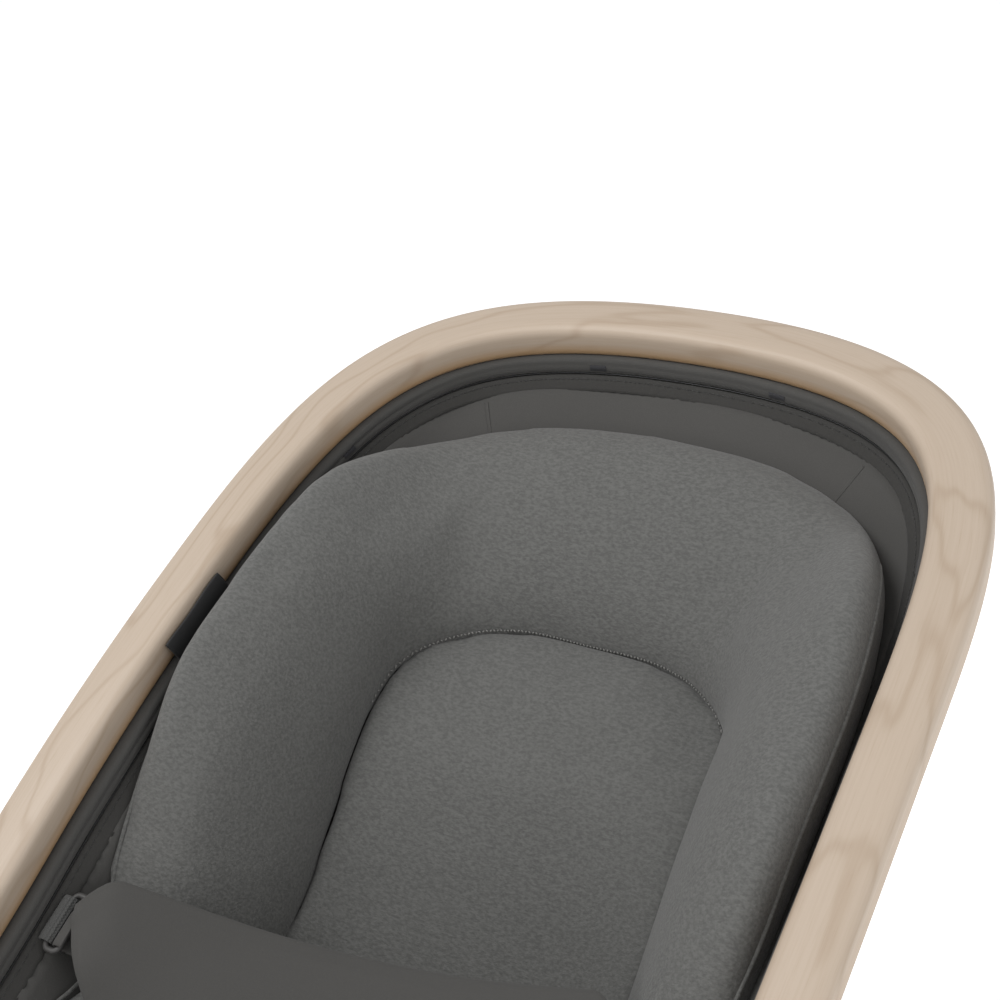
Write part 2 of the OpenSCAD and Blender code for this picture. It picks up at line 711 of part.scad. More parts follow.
// The leg's frame: Z along the leg, from the runner to the front hinge
module along_leg() {
    d = LEG_TOP - LEG_LOW;
    translate(LEG_LOW) rotate([0, acos(d[2] / norm(d)), atan2(d[1], d[0])]) children();
}
LEG_LEN = norm(LEG_TOP - LEG_LOW);
module front_leg_left() {
    color([0.2, 0.2, 0.21])
    along_leg() translate([0, 0, 14]) difference() {
        cylinder(r = tube_r, h = LEG_LEN - 33);
        translate([0, 0, -1]) cylinder(r = tube_r - tube_wall, h = LEG_LEN);
    }
}
module front_leg_right() {
    mirror([1, 0, 0]) front_leg_left();
}
// Half the width of the moulded foot of the leg socket
foot_half = 14;
// Room between the straight groove under the foot and the bent runner
groove_gap = 0.75;
module leg_sockets() {
    color([0.13, 0.13, 0.135])
    both_sides() {
        difference() {
            union() {
                translate([runner_x, leg_y, LEG_LOW[2]]) side_plate(-foot_half, foot_half)
                    polygon([[-36, -6], [36, -6], [20, 16], [-26, 16]]);
                along_leg() rotate([0, 0, 90]) cylinder(r = tube_r + 3, h = 40);
            }
            translate([runner_x, leg_y, rock_at(leg_y)]) rotate([asin(leg_y / rock_r) + 90, 0, 0])
                cylinder(r = tube_r + groove_gap, h = 120, center = true);
            along_leg() translate([0, 0, 13.8]) cylinder(r = tube_r + 0.12, h = 60);
            translate([runner_x - 20, leg_y - 40, -20]) cube([40, 80, LEG_LOW[2] - 3 + 20]);
        }
    }
}
module front_hubs() {
    color([0.15, 0.15, 0.16])
    both_sides() {
        difference() {
            union() {
                translate(LEG_TOP) xcyl(hub_r, -hub_half, hub_half);
                along_leg() translate([0, 0, LEG_LEN - 30]) cylinder(r = 8, h = 30);
                along_leg() translate([0, 0, LEG_LEN - 50]) cylinder(r = tube_r + 2, h = 32);
            }
            translate(LEG_TOP) xcyl(bolt_r + fit_gap, -20, 20);
            along_leg() translate([0, 0, LEG_LEN - 60]) cylinder(r = tube_r + 0.12, h = 41.2);
        }
    }
}
module front_bolts() {
    color([0.6, 0.6, 0.62])
    both_sides() {
        translate(LEG_TOP) {
            xcyl(bolt_r, -16.5, 14);
            xcyl(9, 13.4, 16.5);
            xcyl(8, -17.5, -13.4);
        }
    }
}

// --- guide rails: the strut's bar slides in a slot that follows its true path ---
slot_half = sleeve_r + 1;
rail_margin = 7;
PATH_N = 12;
function turn2(p, a) = [p[0] * cos(a) - p[1] * sin(a), p[0] * sin(a) + p[1] * cos(a)];
function bar_at(a) = let (f = [FRONT[1], FRONT[2]], r = [REAR[1], REAR[2]])
    f + turn2(r - f, a)
    + STRUT_LEN * [cos(STRUT_A + a * (1 + strut_ratio)), sin(STRUT_A + a * (1 + strut_ratio))];
function path_dir(a) = unit(bar_at(a - 1) - bar_at(a + 1));
function path_side(a, w) = let (d = path_dir(a)) bar_at(a) + w * [-d[1], d[0]];
module path_band(w) {
    polygon(concat([for (i = [0 : PATH_N]) path_side(-recline * i / PATH_N, w)],
        [for (i = [PATH_N : -1 : 0]) path_side(-recline * i / PATH_N, -w)]));
    translate(bar_at(0)) circle(w);
    translate(bar_at(-recline)) circle(w);
}
rail_low = 4;
// Points along the rail's foot, on and beside the runner's centreline
foot_a = 153;
foot_b = 240;
saddle_b = 232;
function foot_at(i) = let (y = foot_a + (foot_b - foot_a) * i / PATH_N) [y, rock_at(y)];
function saddle_at(i, up) = let (y = foot_a + (saddle_b - foot_a) * i / PATH_N) [y, rock_at(y) + up];
module guide_rail_left() {
    color([0.14, 0.14, 0.145])
    difference() {
        union() {
            translate([runner_x, 0, 0]) side_plate(-rail_half, rail_half) {
                path_band(slot_half + rail_margin);
                polygon(concat([for (i = [0 : PATH_N]) bar_at(-recline * i / PATH_N)],
                    [for (i = [PATH_N : -1 : 0]) foot_at(i)]));
            }
            translate([runner_x, 0, 0]) side_plate(-tube_r - 2, tube_r + 2)
                polygon(concat([for (i = [0 : PATH_N]) saddle_at(i, -rail_low)],
                    [for (i = [PATH_N : -1 : 0]) saddle_at(i, tube_r + 2)]));
        }
        translate([runner_x, 0, 0]) side_plate(-20, 20) path_band(slot_half);
        rocker_arc(end_a) translate([rock_r, 0]) circle(tube_r + 0.15, $fn = 48);
    }
}
module guide_rail_right() {
    mirror([1, 0, 0]) guide_rail_left();
}

// --- rocker stops: levers that fold down to make the base stand still ---
stop_in = 16;
stop_t = 9;
module four_stops() {
    both_sides() {
        translate([runner_x, stop_y, rock_at(stop_y)]) children();
        mirror([0, 1, 0]) translate([runner_x, stop_y, rock_at(stop_y)]) children();
    }
}
module stop_pins() {
    color([0.6, 0.6, 0.62])
    four_stops() {
        xcyl(stop_pin_r, -stop_in - stop_t - 1, 13);
        xcyl(5, 12.5, 15);
        xcyl(5, -stop_in - stop_t - 2.6, -stop_in - stop_t - 0.6);
    }
}
module stop_rear_left() {
    color([0.13, 0.13, 0.135])
    translate([runner_x, stop_y, rock_at(stop_y)]) difference() {
        side_plate(-stop_in - stop_t, -stop_in) hull() {
            circle(10);
            translate([2, -rock_at(stop_y)]) square([24, 5]);
        }
        xcyl(stop_pin_r + fit_gap, -40, 0);
    }
}
module stop_rear_right() {
    mirror([1, 0, 0]) stop_rear_left();
}
module stop_front_left() {
    mirror([0, 1, 0]) stop_rear_left();
}
module stop_front_right() {
    mirror([0, 1, 0]) stop_rear_right();
}

wood_ring();
sling_frame();
frame_clips();
ring_screws();
front_bracket_left();
front_bracket_right();
rear_bracket_left();
rear_bracket_right();
strut_axles();
detent_discs();
lock_cover_left();
lock_cover_right();
button_springs();
sling();
sling_band();
zip_tape();
zip_chain();
zip_slider();
insert_bolster();
insert_pad();
harness_panel();
webbing_left();
webbing_right();
strap_ring_left();
strap_ring_right();
crotch_strap();
buckle_body();
buckle_tongue();
side_tag();
strut_leg_left();
strut_leg_right();
strut_hub_left();
strut_hub_right();
strut_knuckles();
cross_bar();
bar_sleeves();
detent_pins();
runner_left();
runner_right();
runner_strips();
front_cross_tube();
rear_cross_tube();
tube_collars();
tube_plugs();
front_leg_left();
front_leg_right();
leg_sockets();
front_hubs();
front_bolts();
guide_rail_left();
guide_rail_right();
stop_pins();
stop_front_left();
stop_front_right();
stop_rear_left();
stop_rear_right();
release_button_left();
release_button_right();
buckle_button();
zip_pull();
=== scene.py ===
import json
import math
import bpy
import numpy as np
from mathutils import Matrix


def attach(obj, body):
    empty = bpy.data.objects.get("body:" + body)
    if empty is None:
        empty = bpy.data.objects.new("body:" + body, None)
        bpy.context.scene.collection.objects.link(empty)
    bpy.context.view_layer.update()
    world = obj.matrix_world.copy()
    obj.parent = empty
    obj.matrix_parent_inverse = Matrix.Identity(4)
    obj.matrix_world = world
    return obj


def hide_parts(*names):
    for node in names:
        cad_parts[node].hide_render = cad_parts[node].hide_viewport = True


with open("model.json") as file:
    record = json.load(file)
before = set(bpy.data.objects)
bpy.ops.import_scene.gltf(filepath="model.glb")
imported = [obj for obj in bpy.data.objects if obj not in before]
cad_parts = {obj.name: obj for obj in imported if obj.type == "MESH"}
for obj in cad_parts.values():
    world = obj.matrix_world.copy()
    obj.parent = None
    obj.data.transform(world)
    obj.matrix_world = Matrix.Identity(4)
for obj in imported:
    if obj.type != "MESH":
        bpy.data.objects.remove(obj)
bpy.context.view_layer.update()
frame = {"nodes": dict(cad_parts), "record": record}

# Driving dimensions, in metres and radians, as in part.scad
RING_W = 0.430  # across the wooden ring
RING_LEN = 0.800  # along its curved middle surface, head to foot
WOOD_SIDE = 0.015  # half the wood's width at the sides
WOOD_HEAD = 0.017  # and at the head
WOOD_HALF = 0.0115  # half its height
HEAD_SLOPE = math.radians(21.2)
FOOT_SLOPE = math.radians(3)
HEAD_R = 2.0
HEAD_ARC = 0.450
JOIN_S = 0.285  # where the head's curve meets the long side's
FOOT_H = 0.240
SLING_T = 0.003
SLING_DEPTH = 0.175  # at the deepest point, DEEP_S from the head
DEEP_S = 0.470
SPINE_A, SPINE_B = 0.300, 0.600  # the ends of the sling's deep spine
WALL_FOOT, RIM_FOOT = 0.0245, 0.040  # the sling's edge from the centreline: inwards and down
STRAP_S = 0.472  # the straps' place along the ring

# Sizes that only the visual has
WALL_HEAD, RIM_HEAD = 0.0271, 0.0280
ROD_OUT, ROD_UP, ROD_R = -0.0164, -0.0155, 0.003
SEAM_T = 0.026  # the insert's thickness at the seam between bolster and pad
HEM_V = 0.012  # how far the insert stays off the sling's rim
FOOT_RUN = 0.185  # from the spine's end to where the insert's foot outline closes
PAD_W, PAD_S, PAD_TOP = 0.1030, 0.292, 0.209  # the pad's arch: half width, springing line and top
CUSHION_VOXEL = 0.0045
PANEL_HALF, BUCKLE_HALF, PANEL_END = 0.1585, 0.032, 0.590
SIDES = (("left", 1), ("right", -1))  # the child's left is +x


# ------------------------------------------------------------------ the seat's curved frame
MID_SLOPE = HEAD_SLOPE + HEAD_ARC / HEAD_R
FOOT_R = (RING_LEN - HEAD_ARC) / (MID_SLOPE - FOOT_SLOPE)


def slope(s):
    return np.where(s < HEAD_ARC, HEAD_SLOPE + s / HEAD_R, MID_SLOPE - (s - HEAD_ARC) / FOOT_R)


def side_y(s):
    top = -HEAD_R * (np.sin(slope(np.minimum(s, HEAD_ARC))) - math.sin(HEAD_SLOPE))
    low = -FOOT_R * (math.sin(MID_SLOPE) - np.sin(slope(s)))
    return top + np.where(s > HEAD_ARC, low, 0)


def side_z(s):
    top = -HEAD_R * (math.cos(HEAD_SLOPE) - np.cos(slope(np.minimum(s, HEAD_ARC))))
    low = -FOOT_R * (np.cos(slope(s)) - math.cos(MID_SLOPE))
    return top + np.where(s > HEAD_ARC, low, 0)


HEAD_Y = -float(side_y(np.array(RING_LEN))) / 2
HEAD_Z = FOOT_H - float(side_z(np.array(RING_LEN)))


def at(x, s, h):
    """World places of points x across, s along and h above the ring's curved middle surface."""
    x, s, h = np.broadcast_arrays(np.asarray(x, float), np.asarray(s, float), np.asarray(h, float))
    b = slope(s)
    return np.stack([x, HEAD_Y + side_y(s) - h * np.sin(b), HEAD_Z + side_z(s) + h * np.cos(b)], -1)


def bezier(p, t):
    p, t = np.array(p), t[:, None]
    q = 1 - t
    return q**3 * p[0] + 3 * q * q * t * p[1] + 3 * q * t * t * p[2] + t**3 * p[3]


def smooth(q):
    q = np.clip(q, 0, 1)
    return q * q * (3 - 2 * q)


def fade(s):
    return 1 - smooth(s / JOIN_S)


def foot_share(s):
    """0 along the head and sides, 1 at the foot, where the zipper's slider and the CAD rim are."""
    return smooth((s - 0.560) / 0.150)


class Loop:
    """Evenly spaced stations round the ring's centreline, from the head over the left side."""

    def __init__(self, n):
        half_x = RING_W / 2 - WOOD_SIDE
        foot = RING_LEN - WOOD_SIDE
        t = np.linspace(0, 1, 400)
        head = bezier([(0, WOOD_HEAD), (0.205, WOOD_HEAD), (half_x, JOIN_S - 0.15), (half_x, JOIN_S)], t)
        low = bezier([(half_x, JOIN_S), (half_x, JOIN_S + 0.42), (0.16, foot), (0, foot)], t)
        p = np.concatenate([head, low[1:]])
        p = np.concatenate([p, p[-2:0:-1] * (-1, 1), p[:1]])
        run = np.concatenate([[0], np.cumsum(np.hypot(*np.diff(p, axis=0).T))])
        self.length = run[-1]
        self.u = np.arange(n) / n * run[-1]
        self.x, self.s = (np.interp(self.u, run, p[:, i]) for i in (0, 1))
        step = run[-1] / n
        dx = (np.roll(self.x, -1) - np.roll(self.x, 1)) / (2 * step)
        ds = (np.roll(self.s, -1) - np.roll(self.s, 1)) / (2 * step)
        size = np.hypot(dx, ds)
        self.nx, self.ns = ds / size, -dx / size
        self.n = n

    def offset(self, out, up):
        """Points out (outwards, in plan) and up from the centreline."""
        return at(self.x + self.nx * out, self.s + self.ns * out, up)


def bed(s):
    high = SLING_DEPTH - 0.055 * ((DEEP_S - s) / (DEEP_S - SPINE_A)) ** 2
    low = SLING_DEPTH - 0.030 * ((s - DEEP_S) / (SPINE_B - DEEP_S)) ** 2
    return np.where(s < DEEP_S, high, low)


class Bed(Loop):
    """The sling's surface: from the rim (v = 0) to the spine (v = 1) at every station."""

    def __init__(self, n):
        super().__init__(n)
        low = foot_share(self.s)
        self.wall = WALL_HEAD + (WALL_FOOT - WALL_HEAD) * low
        self.rim = RIM_HEAD + (RIM_FOOT - RIM_HEAD) * low
        self.rx, self.rs = self.x - self.nx * self.wall, self.s - self.ns * self.wall
        soft = 0.016  # rounds the spine's two ends
        rise_a, rise_b = (np.logaddexp(0, (self.rs - q) / soft) for q in (SPINE_A, SPINE_B))
        self.sp = SPINE_A + soft * (rise_a - rise_b)
        self.power = 2.4 - fade(self.s)

    def plan(self, v):
        return self.rx * (1 - v), self.rs * (1 - v) + self.sp * v

    def depth(self, v):
        return -self.rim - (bed(self.sp) - self.rim) * (1 - (1 - v) ** self.power)

    def insert_v(self):
        """The insert's outline: further in at the head and foot, with a notch at each strap."""
        far = HEM_V + 0.338 * (np.clip(self.s - SPINE_B, 0, 1) / FOOT_RUN) ** 2
        near = HEM_V + 0.108 * (1 - smooth((self.s - WOOD_HEAD) / 0.27))
        straps = 0.100 * np.exp(-(((self.s - STRAP_S - 0.006) / 0.024) ** 2))
        return np.where(self.s > SPINE_B, far, near) + straps

    def pad_v(self):
        """Where the pad's arched outline crosses the line from the rim to the spine."""
        lo, hi = np.zeros(self.n), np.ones(self.n)
        for _ in range(24):
            mid = (lo + hi) / 2
            x, s = self.plan(mid)
            size = np.abs(x / PAD_W) ** 3 + np.clip((PAD_S - s) / (PAD_S - PAD_TOP), 0, 2) ** 3
            lo, hi = np.where(size > 1, mid, lo), np.where(size > 1, hi, mid)
        far = 0.33 * (np.clip(self.s - SPINE_B, 0, 1) / FOOT_RUN) ** 2
        return np.maximum(0.412, lo) + far

    def fall(self):
        return np.clip(self.s - 0.4, 0, 1) * 0.15

    def crest(self):
        """Height of the bolster's edge: low at the head, proud of the ring beside the shoulders."""
        rise = smooth((self.s - 0.035) / 0.170)
        return -0.027 + 0.042 * rise - 0.040 * smooth((self.s - 0.315) / 0.140) - self.fall()

    def edge(self):
        return np.maximum(self.crest() - 0.030, self.depth(self.insert_v()) + 0.004)

    def seam(self):
        return self.depth(self.pad_v()) + SEAM_T

    def bolster(self, u):
        """Plan place and height of the bolster's top, u from its outer edge to the pad's seam."""
        top = 0.16
        v = self.insert_v() + (self.pad_v() - self.insert_v()) * u
        if u < top:
            h = self.edge() + (self.crest() - self.edge()) * math.sqrt(1 - (1 - u / top) ** 2)
        else:
            h = self.crest() - (self.crest() - self.seam()) * ((u - top) / (1 - top)) ** 1.6
        return (*self.plan(v), h)


# ------------------------------------------------------------------ mesh helpers
def new_mesh(name, verts, faces, material=None, shade=True):
    me = bpy.data.meshes.new(name)
    me.from_pydata([tuple(map(float, v)) for v in verts], [], [tuple(map(int, f)) for f in faces])
    me.validate()
    me.update()
    ob = bpy.data.objects.new(name, me)
    bpy.context.scene.collection.objects.link(ob)
    if shade:
        me.polygons.foreach_set("use_smooth", [True] * len(me.polygons))
    if material:
        me.materials.append(material)
    return ob


def grid_faces(n, m, around=True, across=False, start=0):
    """Quads of n rows of m points; around closes each row, across joins the last row to the first."""
    rows = n if across else n - 1
    cols = m if around else m - 1
    i, j = np.meshgrid(np.arange(rows), np.arange(cols), indexing="ij")
    a, b = i * m + j, i * m + (j + 1) % m
    c, d = ((i + 1) % n) * m + (j + 1) % m, ((i + 1) % n) * m + j
    return np.stack([a, b, c, d], -1).reshape(-1, 4) + start


def tube_mesh(name, rows, material, across=True):
    """A closed tube of rows of ring points, or one with its two ends capped."""
    rows = np.array(rows)
    n, m = rows.shape[:2]
    faces = [tuple(f) for f in grid_faces(n, m, True, across)]
    if not across:
        faces += [tuple(range(m))[::-1], tuple((n - 1) * m + j for j in range(m))]
    return new_mesh(name, rows.reshape(-1, 3), faces, material)


def ring_solid(name, loop, section, material):
    """section is a list of (out, up), constants or one value for each station."""
    rows = np.stack([loop.offset(o, u) for o, u in section], 1)
    return tube_mesh(name, rows, material)


def sheet_solid(name, top, low, material):
    """A closed sheet between two sets of rings drawn inwards; the last ring is filled across."""
    top, low = np.array(top), np.array(low)
    n, m = top.shape[:2]
    all_top = n * m
    faces = [tuple(f) for f in grid_faces(n, m)]
    faces += [tuple(f[::-1]) for f in grid_faces(n, m, start=all_top)]
    faces += [(all_top + j, all_top + (j + 1) % m, (j + 1) % m, j) for j in range(m)]
    for o, turn in ((all_top - m, 1), (2 * all_top - m, -1)):
        for j in range(m // 2):
            quad = [o + j, o + j + 1, o + (m - j - 1) % m, o + (m - j) % m]
            quad = list(dict.fromkeys(quad))
            faces.append(tuple(quad[::turn]))
    return new_mesh(name, np.concatenate([top.reshape(-1, 3), low.reshape(-1, 3)]), faces, material)


def slab(name, top, low, material):
    """A closed sheet between two grids of points, each with rows and columns."""
    n, m = top.shape[:2]
    faces = [tuple(f) for f in grid_faces(n, m, False)]
    faces += [tuple(f[::-1]) for f in grid_faces(n, m, False, start=n * m)]
    border = list(range(m)) + [i * m + m - 1 for i in range(1, n)]
    border += [(n - 1) * m + j for j in range(m - 2, -1, -1)] + [i * m for i in range(n - 2, 0, -1)]
    faces += [(a, b, b + n * m, a + n * m) for a, b in zip(border, border[1:] + border[:1])]
    return new_mesh(name, np.concatenate([top.reshape(-1, 3), low.reshape(-1, 3)]), faces, material)


def out_of(piece):
    """Turns a closed mesh's faces outwards."""
    import bmesh
    bm = bmesh.new()
    bm.from_mesh(piece.data)
    bmesh.ops.recalc_face_normals(bm, faces=bm.faces)
    bm.to_mesh(piece.data)
    bm.free()


def seat_piece(piece, *nodes, slot):
    """Makes a closed mesh part of the seat, in the place of the CAD nodes named."""
    out_of(piece)
    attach(piece, "seat")
    if nodes:
        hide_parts(*nodes)
    return piece


# ------------------------------------------------------------------ materials
def lin(r, g, b):
    """A linear colour from an 8-bit sRGB one."""
    return tuple(c / 12.92 if c <= 0.04045 else ((c + 0.055) / 1.055) ** 2.4
                 for c in (r / 255, g / 255, b / 255)) + (1,)


def tint(colour, factor, lift=0.0):
    """A colour made paler or darker."""
    return tuple(min(1, c * factor + lift) for c in colour[:3]) + (1,)


class Mat:
    """A material and short calls for its nodes."""

    def __init__(self, name):
        self.m = bpy.data.materials.new(name)
        self.m.use_nodes = True
        self.t = self.m.node_tree
        self.bsdf = self.t.nodes["Principled BSDF"]

    def node(self, kind, **inputs):
        n = self.t.nodes.new("ShaderNode" + kind)
        for key, val in inputs.items():
            name = key.replace("_", " ")
            if name in n.inputs:
                self.put(n.inputs[name], val)
            else:
                setattr(n, key, val)
        return n

    def put(self, socket, val):
        if isinstance(val, bpy.types.NodeSocket):
            self.t.links.new(val, socket)
        else:
            socket.default_value = val

    def math(self, op, a, b=0.0):
        n = self.t.nodes.new("ShaderNodeMath")
        n.operation = op
        self.put(n.inputs[0], a)
        self.put(n.inputs[1], b)
        return n.outputs[0]

    def mix(self, f, a, b):
        n = self.t.nodes.new("ShaderNodeMix")
        n.data_type = "RGBA"
        self.put(n.inputs[0], f)
        self.put(n.inputs[6], a)
        self.put(n.inputs[7], b)
        return n.outputs[2]

    def place(self, scale, source=None):
        """Object coordinates, scaled along each axis."""
        if source is None:
            source = self.node("TexCoord").outputs["Object"]
        n = self.node("Mapping", Vector=source)
        n.inputs["Scale"].default_value = scale
        return n.outputs[0]

    def noise(self, where, detail, rough):
        n = self.node("TexNoise", Vector=where, Scale=1.0, Detail=detail, Roughness=rough)
        return n.outputs["Fac"]

    def ramp(self, f, lo, hi, a=0.0, b=1.0):
        n = self.node("MapRange", Value=f)
        for i, v in zip((1, 2, 3, 4), (lo, hi, a, b)):
            n.inputs[i].default_value = v
        return n.outputs[0]

    def bump(self, height, strength, distance, base=None):
        n = self.node("Bump", Height=height, Strength=strength, Distance=distance)
        if base is not None:
            self.t.links.new(base, n.inputs["Normal"])
        return n.outputs[0]

    def finish(self, **sockets):
        for key, val in sockets.items():
            self.put(self.bsdf.inputs[key.replace("_", " ")], val)
        return self.m


def wood():
    m = Mat("ash_wood")
    grain = m.node("Attribute", attribute_name="grain").outputs["Vector"]
    low = m.noise(m.place((3.2, 13, 13), grain), 3, 0.5)
    parts = m.node("SeparateXYZ", Vector=grain)
    across = m.math("MULTIPLY", parts.outputs[1], 38.0)
    high = m.math("MULTIPLY", parts.outputs[2], 30.0)
    years = m.math("ADD", m.math("ADD", across, high), m.math("MULTIPLY", low, 9.0))
    wave = m.math("SINE", m.math("MULTIPLY", years, 6.283))
    line = m.math("POWER", m.ramp(wave, -1, 1), 12.0)
    fibre = m.noise(m.place((9, 700, 700), grain), 4, 0.6)
    pore = m.ramp(m.noise(m.place((55, 1900, 1900), grain), 2, 0.5), 0.60, 0.72)
    cloud = m.noise(m.place((1.3, 9, 9), grain), 2, 0.5)
    pale, mid, dark = lin(187, 171, 154), lin(177, 160, 142), lin(148, 124, 99)
    tone = m.mix(m.ramp(cloud, 0.3, 0.7), pale, mid)
    tone = m.mix(m.math("MULTIPLY", line, 0.30), tone, dark)
    tone = m.mix(m.math("MULTIPLY", m.ramp(fibre, 0.42, 0.7), 0.13), tone, dark)
    tone = m.mix(m.math("MULTIPLY", pore, 0.16), tone, lin(150, 124, 96))
    # Painted shade: the edge attribute darkens the ring's inner lower edge and its outer lower side towards a
    # tan brown.
    painted_edge_shade = m.node("Attribute", attribute_name="painted_edge_shade").outputs["Fac"]
    tone = m.mix(m.math("MULTIPLY", painted_edge_shade, 0.8), tone, lin(172, 138, 98))
    bump = m.bump(fibre, 0.12, 0.0004)
    bump = m.bump(pore, 0.15, -0.0002, bump)
    rough = m.ramp(fibre, 0.3, 0.7, 0.44, 0.56)
    return m.finish(Base_Color=tone, Roughness=rough, Normal=bump,
                    Coat_Weight=0.08, Coat_Roughness=0.35)


def cloth(name, rgb, speck, speck_scale, weave=1400, rough=0.9, sheen=0.15, bump=0.25,
          stretch=(1, 1, 1)):
    """Woven or knitted cloth: a mottled colour, fine threads in the bump and a soft sheen."""
    m = Mat(name)
    base = lin(*rgb)
    darker, paler = tint(base, 0.62), tint(base, 1.36)
    fine = m.noise(m.place(tuple(speck_scale * k for k in stretch)), 3, 0.65)
    broad = m.noise(m.place((9, 9, 9)), 2, 0.5)
    tone = m.mix(m.ramp(fine, 0.38, 0.62), darker, paler)
    tone = m.mix(speck, base, tone)
    tone = m.mix(m.math("MULTIPLY", m.ramp(broad, 0.35, 0.65), 0.10), tone, paler)
    pile = m.noise(m.place(tuple(weave * k for k in stretch)), 2, 0.6)
    nrm = m.bump(m.math("ADD", pile, m.math("MULTIPLY", fine, 0.4)), bump, 0.0006)
    return m.finish(Base_Color=tone, Roughness=rough, Normal=nrm,
                    Sheen_Weight=sheen, Sheen_Roughness=0.5)


def plastic(name, rgb, rough=0.55, grain=900.0, bump=0.08):
    m = Mat(name)
    g = m.noise(m.place((grain, grain, grain)), 2, 0.6)
    broad = m.noise(m.place((25, 25, 25)), 3, 0.6)
    base = lin(*rgb)
    tone = m.mix(m.math("MULTIPLY", m.ramp(broad, 0.35, 0.7), 0.12), base, tint(base, 1.5, 0.01))
    return m.finish(Base_Color=tone, Roughness=m.ramp(broad, 0.3, 0.7, rough - 0.05, rough + 0.07),
                    Normal=m.bump(g, bump, 0.0003))


def metal(name, rgb, rough=0.35):
    m = Mat(name)
    g = m.noise(m.place((60, 2200, 2200)), 2, 0.5)
    wear = m.noise(m.place((40, 40, 40)), 4, 0.65)
    base = lin(*rgb)
    tone = m.mix(m.math("MULTIPLY", m.ramp(wear, 0.4, 0.75), 0.25), base, tint(base, 0.7))
    brushed = m.ramp(g, 0.3, 0.7, rough - 0.06, rough + 0.08)
    return m.finish(Base_Color=tone, Metallic=1.0, Roughness=brushed, Normal=m.bump(g, 0.05, 0.0002))


def coat(name, rgb, rough=0.42):
    """Powder coat: fine orange peel over steel."""
    m = Mat(name)
    peel = m.noise(m.place((420, 420, 420)), 2, 0.5)
    speck = m.noise(m.place((2400, 2400, 2400)), 1, 0.5)
    base = lin(*rgb)
    tone = m.mix(m.math("MULTIPLY", m.ramp(speck, 0.55, 0.7), 0.25), base, tint(base, 1.8, 0.01))
    return m.finish(Base_Color=tone, Roughness=m.ramp(peel, 0.3, 0.7, rough - 0.05, rough + 0.08),
                    Normal=m.bump(peel, 0.18, 0.0004))


WOOD = wood()
INSERT = cloth("melange_jersey", (91, 91, 89), speck=0.5, speck_scale=520, weave=600, bump=0.8,
               stretch=(0.7, 1.2, 1.2))
SLING = cloth("sling_cloth", (71, 70, 68), speck=0.16, speck_scale=1500, sheen=0.10, bump=0.18)
TAPE = cloth("tape_cloth", (54, 53, 51), speck=0.2, speck_scale=1600, sheen=0.06, bump=0.3)
EDGE = cloth("edge_cloth", (70, 69, 67), speck=0.18, speck_scale=1500, sheen=0.10, bump=0.20)
PANEL = cloth("panel_cloth", (66, 65, 63), speck=0.14, speck_scale=1500, sheen=0.10, bump=0.15)
WEB = cloth("webbing", (72, 72, 71), speck=0.30, speck_scale=1300, sheen=0.10, bump=0.4)
TAG = cloth("tag_satin", (24, 24, 25), speck=0.25, speck_scale=1600, rough=0.6, sheen=0.05, bump=0.2)
PALE = cloth("pale_thread", (128, 127, 124), speck=0.3, speck_scale=2500, rough=0.7, sheen=0.05, bump=0.3)
THREAD = cloth("thread", (58, 58, 57), speck=0.3, speck_scale=2500, rough=0.7, sheen=0.05, bump=0.3)
ZIP = plastic("zip_black", (14, 14, 15), rough=0.38)
DARK = plastic("dark_plastic", (46, 46, 48))
RING = plastic("ring_plastic", (66, 65, 64), rough=0.5)
GREY = plastic("grey_plastic", (92, 93, 95), rough=0.48)
NYLON = plastic("white_nylon", (228, 227, 222), rough=0.4)
RUBBER = plastic("rubber", (30, 30, 30), rough=0.85, bump=0.2)
STEEL = metal("zinc_steel", (190, 190, 192))
DARK_METAL = metal("dark_plated", (80, 80, 82), rough=0.3)
COAT = coat("charcoal_coat", (58, 58, 61))


# ------------------------------------------------------------------ camera, floor and light
VIEW_TURN, VIEW_DOWN = math.radians(30.202), math.radians(21.167)
VIEW_FROM_HEAD = (0.3612, -0.8716, 0.2462)
FLOOR_HALF, WALL_H = 60, 8


def camera():
    """The photo's own view."""
    cam = bpy.data.cameras.new("camera")
    cam.lens = 57.31
    cam.sensor_width = 36
    cam.clip_end = 50
    ob = bpy.data.objects.new("camera", cam)
    bpy.context.scene.collection.objects.link(ob)
    ob.location = np.array(VIEW_FROM_HEAD) + (0, HEAD_Y, HEAD_Z)
    ob.rotation_euler = (math.pi / 2 - VIEW_DOWN, 0, VIEW_TURN)
    bpy.context.scene.camera = ob


